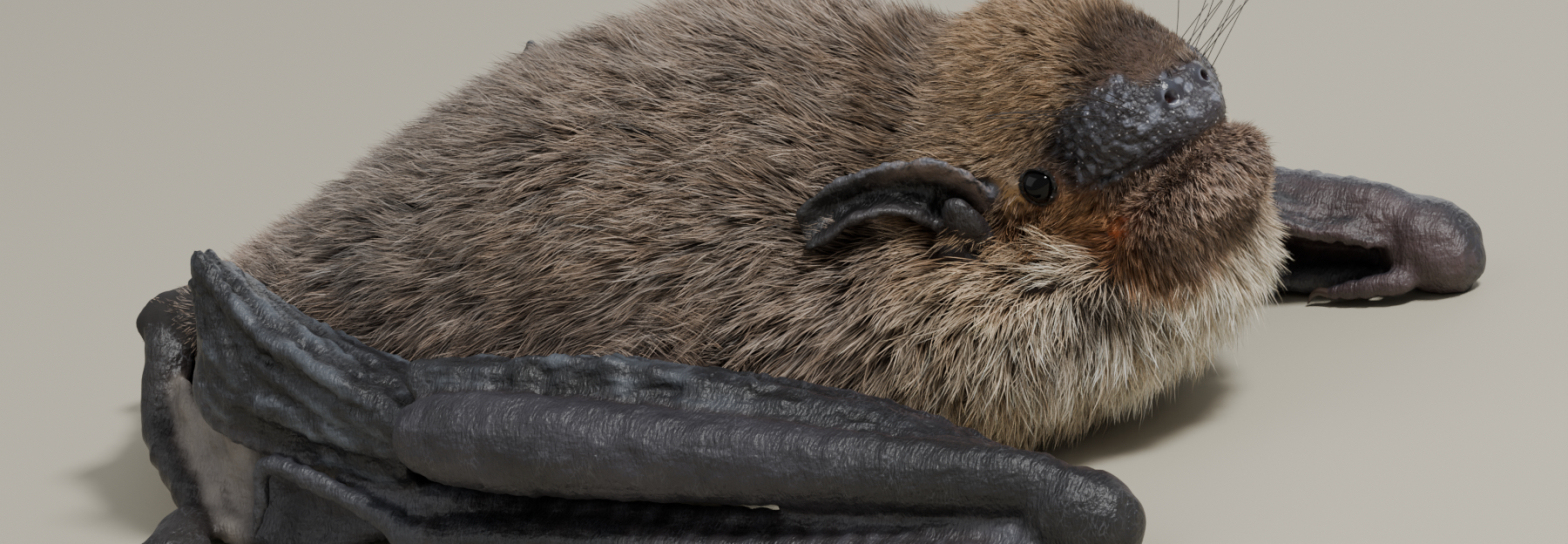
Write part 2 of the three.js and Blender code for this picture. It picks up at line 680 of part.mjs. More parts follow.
// Where pieces meet, the body keeps its whole shape, then the bones, and the skins give way to both.
for (const side of [RIGHT, LEFT]) {
  const name = sideName(side);
  const wrist = wing.wrist(side, GAP);
  const forearm = wing.forearm(side, GAP);
  const upperArm = wing.upperArm(side, GAP);
  const fingers = [3, 4, 5].map((n) => finger(n, side, GAP));
  const legs = [leg.thigh(side, GAP), leg.shin(side, GAP), foot(side, GAP)];
  const add = (part, body, look = "wing_skin") => bat.add(mesh(`${name}_${part}`, body, look));

  add("upper_arm", cut(wing.upperArm(side), bodyRoom, forearm));
  add("forearm", cut(wing.forearm(side), wrist, bodyRoom));
  add("wrist", wing.wrist(side));
  add("thumb", cut(wing.thumb(side), wrist, bodyRoom));
  [3, 4, 5].forEach((n, i) => {
    add(`finger_${n}`, cut(finger(n, side), wrist, forearm, bodyRoom, ...fingers.slice(0, i)));
  });
  const hand = handSkin(side);
  add("hand_skin", cut(hand, wrist, forearm, bodyRoom, ...fingers));
  const flank = sheet(flankSkin(side), { across: 8, along: 4 });
  add("flank_skin", cut(flank, bodyRoom, upperArm, forearm, ...fingers));
  const fore = sheet(foreSkin(side), { across: 4, along: 7 });
  const flankRoom = solid(skin(flankSkin(side), { across: 8, along: 4, thick: MEMBRANE + 2 * GAP }));
  add("fore_skin", cut(fore, bodyRoom, upperArm, forearm, wrist, flankRoom));
  const heel = onFloor(sheet(heelSkin(side), { across: 3, along: 3 }));
  const handRoom = hand.translate([-2 * GAP, 0, 0]);
  add("heel_skin", cut(heel, bodyRoom, handRoom, hand.translate([0, 0, GAP]), ...fingers, ...legs));
  if (side === LEFT) continue; // the hind legs are the same on both sides, and are made once
  const tailSheet = onFloor(sheet(tailSkin(side), { across: 3, along: 7 }));
  const heelRoom = solid(skin(heelSkin(side), { across: 3, along: 3, thick: MEMBRANE + 2 * GAP }));
  const hind = {
    thigh: mesh("right_thigh", cut(leg.thigh(side), bodyRoom), "wing_skin"),
    shin: mesh("right_shin", cut(leg.shin(side), legs[0], bodyRoom), "wing_skin"),
    foot: mesh("right_foot", cut(foot(side), legs[1], ...fingers), "claw"),
    tail_skin: mesh(
      "right_tail_skin",
      cut(tailSheet, bodyRoom, tail(GAP), heelRoom, ...legs, ...fingers),
      "wing_skin",
    ),
  };
  for (const [part, made] of Object.entries(hind)) bat.add(made, twin(made, `left_${part}`));
}
bat.add(mesh("tail", cut(tail(), bodyRoom), "wing_skin"));

const slices = [slice(RUMP_X), slice(WAIST_X), slice(NECK_X, NECK_LEAN)];
const parts = onFloor(cut(bodyShape(0), ...headRoom, ...slices))
  .decompose()
  .filter((piece) => piece.volume() > SMALL)
  .sort((a, b) => a.boundingBox().min[0] - b.boundingBox().min[0]);
["rump", "belly", "breast", "neck"].forEach((name, i) => bat.add(mesh(name, parts[i], "back_fur")));

export default bat;
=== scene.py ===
"""A pipistrelle bat at rest on a plain floor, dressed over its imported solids: skin, eyes, claws and coat.

Shapes are drawn in millimetres, with +X to the head, +Y to the animal's left and +Z up, and become metres
as each mesh is made. "side" is -1 on the animal's right and 1 on its left.
"""

import math

import bmesh
import bpy
import numpy as np
from mathutils import Matrix, Vector
from mathutils.bvhtree import BVHTree
from mathutils.kdtree import KDTree


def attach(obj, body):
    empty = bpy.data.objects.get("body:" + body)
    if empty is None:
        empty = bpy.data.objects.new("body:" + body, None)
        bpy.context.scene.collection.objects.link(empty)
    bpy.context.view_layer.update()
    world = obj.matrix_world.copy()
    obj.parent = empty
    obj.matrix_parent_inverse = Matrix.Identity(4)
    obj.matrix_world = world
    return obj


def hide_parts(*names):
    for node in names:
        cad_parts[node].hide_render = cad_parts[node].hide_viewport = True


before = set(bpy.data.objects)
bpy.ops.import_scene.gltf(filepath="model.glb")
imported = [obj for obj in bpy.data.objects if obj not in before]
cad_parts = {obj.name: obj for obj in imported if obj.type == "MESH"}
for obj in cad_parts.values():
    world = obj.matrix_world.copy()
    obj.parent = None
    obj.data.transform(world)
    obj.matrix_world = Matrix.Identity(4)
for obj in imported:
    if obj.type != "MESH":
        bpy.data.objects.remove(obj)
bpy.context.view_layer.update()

# ---- Trunk ----
# The body under its coat: rump, belly, breast and neck as one firm barrel, flat where it rests on the floor.
# It is flesh and hide, so it is drawn as rings of oval section and left smooth. The coat stands round it.

MM = 0.001
SIDES = (-1, 1)


def curve(places, share, even=False):
    """Points of a smooth line through places, at shares 0 to 1. even lets long and short gaps pull alike."""
    p = np.asarray(places, float)
    gaps = len(p) - 1
    p = np.vstack([2 * p[0] - p[1], p, 2 * p[-1] - p[-2]])
    s = np.clip(np.asarray(share, float), 0, 1) * gaps
    i = np.minimum(s.astype(int), gaps - 1)
    w = (s - i)[..., None]
    a, b, c, d = p[i], p[i + 1], p[i + 2], p[i + 3]
    if even:
        out_b, in_c = (c - a) / 2, (d - b) / 2
    else:
        g0, g1, g2 = (
            np.maximum(np.sqrt(np.linalg.norm(y - x, axis=-1, keepdims=True)), 1e-2)
            for x, y in ((a, b), (b, c), (c, d))
        )
        out_b = ((b - a) / g0 - (c - a) / (g0 + g1) + (c - b) / g1) * g1
        in_c = ((c - b) / g1 - (d - b) / (g1 + g2) + (d - c) / g2) * g1
    return b + out_b * w + (3 * (c - b) - 2 * out_b - in_c) * w**2 + (2 * (b - c) + out_b + in_c) * w**3


def size_of(v):
    return np.linalg.norm(v, axis=-1)


def unit(v):
    return v / np.maximum(size_of(v)[..., None], 1e-9)


def loft(stations, rings=60, sides=40, inset=0.0, square=2.0, upright=(0, 0, 1)):
    """A closed body of oval rings, as (corners, faces).

    A station is x, y, z, half width, half height up, half height down and, if the upper half is pinched, its
    ridge power. inset, one number or one for each station, draws the body in.
    """
    table = np.array([list(s) + [square] * (7 - len(s)) for s in stations], float)
    t = (1 - np.cos(np.pi * np.arange(rings + 1) / rings)) / 2
    centre = curve(table[:, :3], t, even=True)
    inner = np.clip(t, 0.004, 0.996)
    ahead, behind = (curve(table[:, :3], inner + step, even=True) for step in (1e-4, -1e-4))
    along = unit(ahead - behind)
    across = unit(np.cross(np.array(upright, float), along))
    up = np.cross(along, across)
    insets = np.broadcast_to(np.asarray(inset, float).reshape(-1, 1), (len(table), 1))
    drawn_in = curve(insets, t, even=True)
    half = np.sqrt(np.maximum(curve(table[:, 3:6] ** 2, t, even=True), 4e-4))
    half = np.maximum(half - drawn_in, np.minimum(half, 0.06))
    ridge = curve(table[:, 6:7], t, even=True)
    angle = 2 * np.pi * (np.arange(sides) + 0.5) / sides
    cos, sin = np.cos(angle)[None, :], np.sin(angle)[None, :]
    power = np.where(sin > 0, ridge, square)
    reach = np.where(sin > 0, half[:, 1:2], half[:, 2:3])
    wide = np.sign(cos) * np.abs(cos) ** (2 / power) * half[:, :1]
    high = np.sign(sin) * np.abs(sin) ** (2 / power) * reach
    points = centre[:, None] + wide[..., None] * across[:, None] + high[..., None] * up[:, None]
    ends = centre[[0, -1]] + np.array([[1], [-1]]) * drawn_in[[0, -1]] * along[[0, -1]]
    ring = np.arange(sides)
    after = (ring + 1) % sides
    row = np.arange(rings - 2)[:, None] * sides
    quads = np.stack([row + ring, row + after, row + sides + after, row + sides + ring], 2).reshape(-1, 4)
    end, last_row = np.full(sides, (rings - 1) * sides), (rings - 2) * sides
    caps = (end, after, ring, ring), (end + 1, last_row + ring, last_row + after, last_row + after)
    faces = np.vstack([quads, *(np.stack(cap, 1) for cap in caps)])
    return np.vstack([points[1:-1].reshape(-1, 3), ends]), faces


flesh = []  # every closed form that the skin is drawn over, as (kind, corners, faces)


def add_flesh(kind, form):
    flesh.append((kind, *form))


TRUNK = [
    (-34.6, 0, 4.6, 0, 0, 0),
    (-33.2, 0, 4.8, 3.4, 2.0, 1.9),
    (-30.4, 0, 5.0, 5.8, 3.4, 2.7),
    (-27.0, 0, 5.3, 7.4, 4.6, 3.3),
    (-22.0, 0, 6.0, 8.9, 6.7, 4.6),
    (-16.0, 0, 6.6, 10.2, 8.9, 5.8),
    (-9.0, 0, 7.0, 10.9, 10.2, 7.6),
    (-2.0, 0, 7.0, 10.9, 10.5, 8.2, 1.6),
    (3.6, 0, 7.0, 9.8, 9.0, 8.2, 1.3),
    (8.2, 0.3, 7.3, 8.5, 4.2, 6.5, 1.5),
    (11.4, 0.8, 8.2, 6.4, 3.6, 5.2, 1.8),
    (13.2, 1.2, 9.2, 4.2, 2.6, 3.9),
    (14.6, 1.4, 9.8, 0, 0, 0),
]
TRUNK_SQUARE = 2.15
TRUNK_COAT = [1.2, 1.3, 1.5, 1.7, 1.8, 2.0, 2.1, 2.2, 2.2, 2.2, 2.2, 2.0, 1.8]  # depth of the coat
add_flesh("trunk", loft(TRUNK, 110, 90, TRUNK_COAT, TRUNK_SQUARE))

# ---- Head ----
# Skull and muscle, with a short blunt muzzle, two nostril tubes and a firm ball round each eye for the lids.
# It is drawn in its own frame, +X to the nose and the origin between the eyes, and then set on the neck.

HEAD_AT = np.array([9.4, -1.2, 11.5])
PITCH, TURN, TILT = (math.radians(a) for a in (-30, -14, 5))
HEAD_TURNED = np.array(
    Matrix.Rotation(TURN, 3, "Z") @ Matrix.Rotation(PITCH, 3, "Y") @ Matrix.Rotation(TILT, 3, "X")
)


def on_head(points):
    """From the head's own frame to the animal's."""
    return np.asarray(points, float) @ HEAD_TURNED.T + HEAD_AT


def in_head(points):
    """From the animal's frame to the head's own."""
    return (points - HEAD_AT) @ HEAD_TURNED


def in_half_head(points):
    """In the head's own frame, with its right half folded over onto the left."""
    h = in_head(points)
    h[:, 1] = np.abs(h[:, 1])
    return h


def set_on_head(form):
    """A form drawn in the head's own frame, as (corners, faces) in the animal's."""
    return on_head(form[0]), form[1]


SKULL = [
    (5.95, 0, -0.35, 0, 0, 0),
    (5.5, 0, -0.6, 1.6, 1.35, 1.7),
    (4.7, 0, -0.4, 2.5, 2.6, 2.4),
    (3.3, 0, 0.0, 3.3, 4.0, 3.4),
    (1.5, 0, 0.6, 3.7, 5.3, 4.4),
    (-0.4, 0, 0.9, 4.15, 6.2, 4.9),
    (-3, 0, 0.7, 5.4, 7.0, 5.2),
    (-6, 0, 0.4, 6.6, 7.4, 5.4),
    (-9, 0, 0, 6.4, 6.7, 5.0),
    (-11.5, 0, -0.6, 4.5, 4.4, 3.6),
    (-13, 0, -1, 0, 0, 0),
]
SKULL_SQUARE = 2.1
CHIN = [
    (-1.5, 0, -3.2, 0, 0, 0),
    (0.6, 0, -3.2, 3.2, 1.3, 1.7),
    (2.6, 0, -3.3, 3.7, 1.7, 2.2),
    (4.2, 0, -3.2, 3.5, 1.75, 2.1),
    (5.4, 0, -3.0, 2.7, 1.55, 1.6),
    (6.1, 0, -3.0, 0, 0, 0),
]
CHIN_SQUARE = 2.3
CHIN_COAT = [0.3, 0.3, 0.65, 1.0, 1.0, 1.0]
SKULL_COAT = [0, 0, 0.05, 0.25, 0.4, 0.5, 0.95, 1.3, 1.6, 1.6, 1.5]  # depth of the coat
EYE_AT = np.array([0.05, 3.62, 0.0])
EYE_RADIUS = 0.72
LID_RADIUS = 0.82
add_flesh("head", set_on_head(loft(SKULL, 90, 80, SKULL_COAT, SKULL_SQUARE)))
add_flesh("head", set_on_head(loft(CHIN, 60, 60, CHIN_COAT, CHIN_SQUARE)))


def ball(centre, radius, rings=24):
    x, y, z = centre
    ends = ((x - radius, y, z, 0, 0, 0), (x + radius, y, z, 0, 0, 0))
    return loft([ends[0], (x, y, z, radius, radius, radius), ends[1]], rings, rings)


for side in SIDES:
    tube = [
        (4.6, 0.75 * side, 0.1, 0, 0, 0),
        (5.3, 0.8 * side, 0.15, 0.56, 0.56, 0.56),
        (5.85, 0.92 * side, 0.1, 0.56, 0.56, 0.56),
        (6.2, 1.0 * side, 0.05, 0, 0, 0),
    ]
    add_flesh("head", set_on_head(loft(tube, 24, 24)))
    add_flesh("head", set_on_head(ball(EYE_AT * (1, side, 1), LID_RADIUS)))
between_nostrils = [(5.45, -1.1, 0, 0, 0, 0), (5.65, 0, 0, 0.42, 0.42, 0.42), (5.45, 1.1, 0, 0, 0, 0)]
add_flesh("head", set_on_head(loft(between_nostrils, 16, 16)))

# ---- Ears ----
# A thin leathery cup on each side, laid back along the head and open forwards and outwards, with cross folds
# in its hollow. A short blunt blade, the tragus, stands in front of it. Both are skin over gristle.

EAR_FRONT = [
    (-1.5, 4.5, 0.4),
    (-0.7, 5.5, 1.9),
    (-1.2, 6.3, 3.2),
    (-3.0, 7.4, 4.2),
    (-4.9, 8.4, 4.7),
    (-6.5, 9.2, 4.4),
]
EAR_REAR = [
    (-4.2, 5.0, -0.8),
    (-3.2, 6.6, 0.9),
    (-3.0, 8.0, 2.3),
    (-4.2, 8.9, 2.9),
    (-5.7, 9.35, 2.8),
    (-6.7, 9.5, 3.1),
]
EAR_DEPTH = 2.0
EAR_THICK = 0.36
EAR_INTO_HEAD = unit(np.array([-0.64, -0.72, -0.1]))
EAR_MARGIN = 0.045  # share left free at each rim
EAR_FOLDS = 5.5
EAR_FOLD_HEIGHT = 0.1


def sheet(surface, across, along, thick):
    """A closed thin skin about surface(u, v), with u and v from 0 to 1, as (corners, faces)."""
    u, v = np.meshgrid(np.linspace(0, 1, across + 1), np.linspace(0, 1, along + 1), indexing="ij")
    step = 1e-3
    mid_u, mid_v = np.clip(u, step, 1 - step), np.clip(v, step, 1 - step)
    slope_u = surface(mid_u + step, v) - surface(mid_u - step, v)
    slope_v = surface(u, mid_v + step) - surface(u, mid_v - step)
    middle, out = surface(u, v), unit(np.cross(slope_u, slope_v)) * (thick / 2)
    top, under = middle + out, middle - out
    row, count = along + 1, u.size
    k = (np.arange(across)[:, None] * row + np.arange(along)[None, :]).ravel()
    faces = [np.stack([k, k + row, k + row + 1, k + 1], 1)]
    faces.append(count + faces[0][:, ::-1])
    i, j, far = np.arange(across) * row, np.arange(along), across * row
    for a, b in ((i + row, i), (i + along, i + along + row), (j, j + 1), (far + j + 1, far + j)):
        faces.append(np.stack([a, b, count + b, count + a], 1))
    return np.vstack([top.reshape(-1, 3), under.reshape(-1, 3)]), np.vstack(faces)


def ear_surface(side):
    def surface(u, v):
        u, v = (EAR_MARGIN + (1 - 2 * EAR_MARGIN) * q for q in (u, v))
        hollow = EAR_DEPTH * np.sin(np.pi * v) ** 0.8 * (1 - 0.75 * u**3)
        folds = EAR_FOLD_HEIGHT * np.sin(2 * np.pi * EAR_FOLDS * u) * np.sin(np.pi * v) ** 2
        front, rear = curve(EAR_FRONT, u), curve(EAR_REAR, u)
        place = front + (rear - front) * v[..., None] + (hollow + folds)[..., None] * EAR_INTO_HEAD
        return on_head(place * (1, side, 1))

    return surface


for side in SIDES:
    add_flesh("ear", sheet(ear_surface(side), 60, 50, EAR_THICK))
    blade = [
        (-2.8, 4.7 * side, -1.2, 0, 0, 0),
        (-2.7, 5.1 * side, -0.6, 0.5, 0.62, 0.62),
        (-2.35, 5.6 * side, 0.3, 0.55, 0.8, 0.8),
        (-2.0, 5.95 * side, 1.1, 0.4, 0.65, 0.65),
        (-1.9, 6.1 * side, 1.65, 0, 0, 0),
    ]
    add_flesh("tragus", set_on_head(loft(blade, 30, 30, upright=(1, 0, 0))))

# ---- Arms ----
# Upper arm, forearm, wrist and thumb: slim bone and sinew under bare dark skin. The forearm is the one long
# bone that shows, thick and fleshy at the elbow, and its length sets the size of the whole animal.

FOREARM = 31.5  # along the folded wing, from the back of the elbow to the front of the wrist
FOREARM_ENDS = 4.2  # the part of that which lies beyond the centres of the two joints
WRIST = np.array([14.0, 14.3, 2.9])
ELBOW_OUT, ELBOW_UP = 16.2, 5.4
SHOULDER = np.array([-2.0, 7.5, 5.6])
across_and_up = (ELBOW_OUT - WRIST[1]) ** 2, (ELBOW_UP - WRIST[2]) ** 2
elbow_back = math.sqrt((FOREARM - FOREARM_ENDS) ** 2 - across_and_up[0] - across_and_up[1])
ELBOW = np.array([WRIST[0] - elbow_back, ELBOW_OUT, ELBOW_UP])


def between(start, end, share, side=1):
    """A place at a share of the way from start to end, on one side of the animal."""
    x, y, z = np.asarray(start, float) + (np.asarray(end, float) - start) * share
    return x, y * side, z


def limb(places, rings=48, sides=24):
    """A limb of round section through places x, y, z, radius."""
    return loft([(x, y, z, r, r, r) for x, y, z, r in places], rings, sides)


UPPER_ARM = ((0.0, 0), (0.2, 1.8), (0.6, 1.35), (0.88, 1.15), (1.0, 0))  # share of its length, radius
ARM_COAT = 0.5  # depth of the coat on the upper arm and thigh


def upper_arm(side, inset=0.0):
    return limb([(*between(SHOULDER, ELBOW, s, side), max(r - inset, 0)) for s, r in UPPER_ARM])


for side in SIDES:
    add_flesh("upper_arm", upper_arm(side, ARM_COAT))
    shares_radii = ((-0.055, 0), (0.0, 1.55), (0.14, 1.95), (0.4, 1.75), (0.7, 1.45), (0.92, 1.3), (1.0, 0))
    forearm = [(*between(ELBOW, WRIST, s, side), 0.92 * r, r, r) for s, r in shares_radii]
    add_flesh("arm", loft(forearm, 90, 40))
    wrist = [
        (11.9, 14.5 * side, 2.6, 0, 0, 0),
        (12.9, 14.5 * side, 2.3, 1.45, 1.55, 1.9),
        (14.2, 14.4 * side, 1.9, 1.75, 1.75, 2.1),
        (15.4, 14.0 * side, 1.4, 1.35, 1.3, 1.6),
        (16.2, 13.7 * side, 1.2, 0, 0, 0),
    ]
    add_flesh("arm", loft(wrist, 40, 36))
    thumb = [
        (14.2, 13.2 * side, 1.0, 0),
        (13.2, 12.6 * side, 0.85, 0.5),
        (11.7, 12.4 * side, 0.7, 0.42),
        (10.3, 12.4 * side, 0.55, 0.34),
        (9.8, 12.4 * side, 0.5, 0),
    ]
    add_flesh("arm", limb(thumb, 40, 20))

# ---- Long fingers ----
# Three long fingers run back from the wrist under the forearm, bend at the knuckles behind the elbow and fold
# on. The longest ends in the wing tip, standing up beside the rump. Each is thin bone under tight skin.

FINGERS = [
    # start, knuckle, first joint and end
    ((12.6, 15.3, 1.2), (-14.8, 14.6, 2.0), (-24.8, 13.8, 5.2), (-25.6, 11.6, 11.6)),
    ((12.8, 16.4, 0.85), (-13.4, 16.3, 1.1), (-21.4, 15.3, 3.8), (-22.9, 15.9, 0.5)),
    ((12.0, 13.6, 0.7), (-12.0, 13.2, 0.9), (-18.6, 12.6, 2.6), (-21.2, 13.4, 0.5)),
]
FINGER_RADII = [(0.66, 0.78, 0.52, 0.46, 0.34), (0.6, 0.72, 0.48, 0.42, 0.32), (0.56, 0.66, 0.44, 0.38, 0.32)]
for side in SIDES:
    for (start, knuckle, joint, end), (r0, r1, r2, r3, r4) in zip(FINGERS, FINGER_RADII):
        steps = [
            (start, knuckle, -0.02, 0),
            (start, knuckle, 0.06, r0),
            (start, knuckle, 0.5, r0 * 0.9),
            (start, knuckle, 1, r1),
            (knuckle, joint, 0.4, r2),
            (knuckle, joint, 1, r3),
            (joint, end, 0.5, r4),
            (joint, end, 1, 0),
        ]
        places = [(*between(a, b, s, side), r) for a, b, s, r in steps]
        add_flesh("finger", limb([(x, y, max(z, 0.9 * r), r) for x, y, z, r in places], 110, 20))

# ---- Wing skins ----
# Sheets of bare elastic skin between body, arm, fingers and leg. Folded, they draw up into pleats that run
# along the fingers. They are far thinner on the animal, and are drawn half a millimetre thick to hold.

MEMBRANE = 0.5
FLANK_PLEATS = ((2.5, 0.3), (6.0, 0.25))  # number across the skin, and height
FORE_PLEATS = ((2.5, 0.2), (6.0, 0.16), (10.0, 0.12))
HEEL_PLEATS = ((3, 0.25), (8, 0.14))
PLEATS_STAND = np.array([0, 0.7, 0.7])  # outwards and up
FORE_CRUMPLES, FORE_FADE = 0.16, 0.75  # height of its folds across, and how far all its folds die away
HEEL_SAG = 0.7
FLOOR_GAP = 0.3  # the lowest that the middle of a hanging skin comes


def ripple(points, size, seed, waves=14):
    """Even, seeded unevenness between about -1 and 1, with humps of about the given size."""
    dice = np.random.default_rng(seed)
    ways = unit(dice.normal(size=(waves, 3))) * 2 * np.pi / (size * dice.uniform(1.4, 3.0, (waves, 1)))
    return np.sin(points @ ways.T + dice.uniform(0, 6.3, waves)).sum(1) * math.sqrt(2 / waves) * 0.6


def past(x, low, high):
    """0 where x is below low, 1 where it is above high, and a soft step between."""
    q = np.clip((x - low) / (high - low), 0, 1)
    return q * q * (3 - 2 * q)


def short_of(x, low, high):
    """1 where x is below low, 0 where it is above high, and a soft step between."""
    return 1 - past(x, low, high)


def heel_surface(side):
    """The skin from the last finger to the shin, sagging between them and drawn into pleats along them."""

    def surface(u, v):
        a, b = curve(HEEL_OUTER, v), curve(HEEL_INNER, v)
        place = (a + (b - a) * u[..., None]) * (1, side, 1)
        place[..., 2] -= HEEL_SAG * np.sin(np.pi * u)
        for count, height in HEEL_PLEATS:
            wave = np.sin(2 * np.pi * count * u + 1.3 * np.sin(3.1 * v + count))
            place[..., 2] += height * np.sin(np.pi * u) ** 0.7 * wave
        place[..., 2] = np.maximum(place[..., 2], FLOOR_GAP)
        return place

    return surface


def folded(outer, crest, inner, side, pleats, crumples=0.0, fade=0.0):
    """A skin that rises from its outer edge to a crest and falls to its inner edge, in pleats along it.

    crumples is the height of the folds across the pleats. Both fade towards the far end, where v is 1.
    """

    def surface(u, v):
        a, b, c = (curve(edge, v) for edge in (outer, crest, inner))
        q = u[..., None]
        place = a * (1 - q) * (1 - 2 * q) + b * 4 * q * (1 - q) + c * q * (2 * q - 1)
        rise = crumples * ripple(place.reshape(-1, 3) * (1, 0.35, 0.35), 0.55, 17).reshape(u.shape)
        for count, height in pleats:
            rise += height * np.sin(2 * np.pi * count * u + 1.5 * np.sin(2.7 * v + count) + count * v)
        rise *= 1 - fade * past(v, 0.45, 0.8)
        rise *= np.sin(np.pi * np.clip(u * 1.15, 0, 1)) ** 0.6
        return (place + rise[..., None] * PLEATS_STAND) * (1, side, 1)

    return surface


FLANK = [
    [(-15.0, 14.7, 2.7), (-20.0, 14.3, 3.8), (-24.7, 13.7, 5.4), (-25.5, 12.1, 10.0)],
    [(-13.9, 15.0, 5.4), (-18.2, 14.1, 6.9), (-22.0, 12.9, 8.7), (-25.2, 11.5, 11.0)],
    [(-9.5, 11.0, 5.0), (-14.8, 9.6, 4.6), (-20.4, 8.4, 5.0), (-25.6, 7.0, 6.0)],
]
FOREARM_SKIN = [
    [(-13.6, 15.4, 6.2), (-5.0, 14.9, 4.9), (4.0, 14.6, 4.0), (12.4, 14.3, 3.2)],
    [(-14.4, 14.1, 7.4), (-7.0, 13.7, 7.3), (2.5, 13.2, 5.6), (12.4, 13.4, 3.1)],
    [(-10.8, 11.6, 5.6), (-3.0, 10.4, 5.1), (5.5, 10.9, 4.3), (12.8, 12.6, 2.2)],
]
HEEL_OUTER = [(-16.0, 14.4, 1.8), (-20.2, 14.0, 3.1), (-24.4, 13.1, 4.6)]
HEEL_INNER = [(-20.0, 15.2, 0.4), (-25.2, 14.6, 0.5), (-28.0, 12.0, 2.4), (-30.6, 8.6, 5.6)]


def flank_surface(side):
    return folded(*FLANK, side, FLANK_PLEATS)


def forearm_surface(side):
    return folded(*FOREARM_SKIN, side, FORE_PLEATS, FORE_CRUMPLES, FORE_FADE)


for side in SIDES:
    hand = [
        (11.8, 14.9 * side, 0.9, 0, 0, 0),
        (9.5, 15.2 * side, 0.95, 1.4, 0.6, 0.95),
        (0.0, 15.2 * side, 1.0, 1.9, 0.75, 1.0),
        (-9.0, 15.0 * side, 1.1, 2.2, 1.0, 1.1),
        (-13.0, 14.9 * side, 1.1, 2.0, 0.9, 1.1),
        (-15.5, 14.8 * side, 1.2, 0, 0, 0),
    ]
    add_flesh("membrane", loft(hand, 60, 40, square=2.6))
    add_flesh("membrane", sheet(flank_surface(side), 130, 80, MEMBRANE))
    add_flesh("membrane", sheet(forearm_surface(side), 80, 150, MEMBRANE))
    add_flesh("tail_skin", sheet(heel_surface(side), 60, 60, MEMBRANE))

# ---- Hind legs and tail ----
# Short splayed legs with the knee up and the foot flat, five toes to a foot, and a slender tail that curls
# down and under. A wide skin hangs between tail and legs. All of it is bare, dark and slightly wrinkled.

HIP, KNEE, ANKLE = (-24.0, 4.0, 6.0), (-31.2, 7.6, 6.8), (-27.0, 13.6, 1.1)
TAIL_TURN = -36.6
TAIL = [
    (-31.6, 0, 4.7),
    (-34.6, 0, 4.5),
    (TAIL_TURN, 0, 3.4),
    (TAIL_TURN + 0.4, 0, 1.5),
    (-33.0, 0, 0.6),
    (-27.0, 0, 0.5),
    (-21.0, 0, 0.45),
]
LEG_LINE = [
    (-31.6, 3.2, 5.6),
    (KNEE[0] - 0.4, KNEE[1], KNEE[2] - 0.5),
    (KNEE[0] + 0.8, KNEE[1] + 3.0, KNEE[2] - 3.4),
    (ANKLE[0] - 0.2, ANKLE[1] - 0.3, ANKLE[2] - 0.3),
    (ANKLE[0] + 2.6, ANKLE[1] - 1.6, 0.4),
]
HEEL = np.array([-26.8, 14.3, 0.9])
THIGH = ((0, 0), (0.25, 2.4), (0.7, 1.9), (1, 1.3), (1.15, 0))  # share of its length, radius
FOOT_HEADING, TOE_SPREAD, TOES, TOE_ROOT, FOOT_LENGTH = 72, 11, 5, 1.4, 6.0
TOE = ((0, 0.8, 0), (0.25, 0.75, 0.4), (0.6, 0.6, 0.3), (0.86, 0.5, 0))  # share of length, height, radius
CLAW_SHARE = 0.34  # of each toe's length


def heading(degrees, side):
    a = math.radians(degrees)
    return np.array([math.cos(a), math.sin(a) * side, 0.0])


def toe_line(i, side):
    """Root and end of a toe on the floor's plane."""
    rank = i - (TOES - 1) / 2
    ahead = heading(FOOT_HEADING, side)
    beside = np.array([-ahead[1], ahead[0], 0.0])
    root = HEEL * (1, side, 1) + ahead * TOE_ROOT + beside * 0.42 * rank * side
    reach = FOOT_LENGTH - TOE_ROOT - 0.25 * abs(rank)
    return root, root + heading(FOOT_HEADING + TOE_SPREAD * rank, side) * reach


def tail_skin_surface(side):
    def surface(u, v):
        a, b = curve(TAIL, 0.04 + 0.94 * v), curve(LEG_LINE, v) * (1, side, 1)
        place = a + (b - a) * (0.03 + 0.97 * u)[..., None]
        fold = 0.22 * np.sin(2 * np.pi * 4 * u + 2 * np.sin(3 * v)) * np.sin(np.pi * v)
        place[..., 2] -= (0.8 * np.sin(np.pi * v) + fold) * np.sin(np.pi * u)
        place[..., 2] = np.maximum(place[..., 2], FLOOR_GAP)
        return place

    return surface


def thigh(side, inset=0.0):
    """The thigh, drawn in by inset near the hip and less towards the bare knee."""
    return limb([(*between(HIP, KNEE, s, side), max(r - inset * (1 - 0.8 * min(s, 1)), 0)) for s, r in THIGH])


for side in SIDES:
    add_flesh("thigh", thigh(side, ARM_COAT))
    shin = [
        (KNEE[0] - 0.4, (KNEE[1] + 0.3) * side, KNEE[2] + 0.4, 0),
        (*between(KNEE, ANKLE, 0.15, side), 0.95),
        (KNEE[0] + 1.0, (KNEE[1] + 3.0) * side, KNEE[2] - 3.5, 0.72),
        (*between(KNEE, ANKLE, 0.94, side), 0.62),
        (*between(KNEE, ANKLE, 1, side), 0),
    ]
    add_flesh("leg", limb(shin))
    heel, ahead = HEEL * (1, side, 1), heading(FOOT_HEADING, side)
    sole = [
        (*(heel - 0.9 * ahead), 0, 0, 0),
        (*heel, 0.85, 0.8, 0.85),
        (*(heel + 1.9 * ahead), 1.25, 0.6, 0.85),
        (*(heel + 3.4 * ahead), 0, 0, 0),
    ]
    add_flesh("foot", loft(sole, 36, 30))
    for i in range(TOES):
        root, end = toe_line(i, side)
        add_flesh("foot", limb([(*between(root, end, s)[:2], z, r) for s, z, r in TOE], 30, 16))
    add_flesh("tail_skin", sheet(tail_skin_surface(side), 60, 100, MEMBRANE))
tail_shares = np.linspace(0, 1, 9)
tail_radii = [0, *(1.05 - 0.5 * tail_shares[1:-1]), 0]
tail = [(*curve(TAIL, s), r) for s, r in zip(tail_shares, tail_radii)]
add_flesh("leg", limb([(x, y, max(z, 0.9 * r), r) for x, y, z, r in tail], 90, 20))

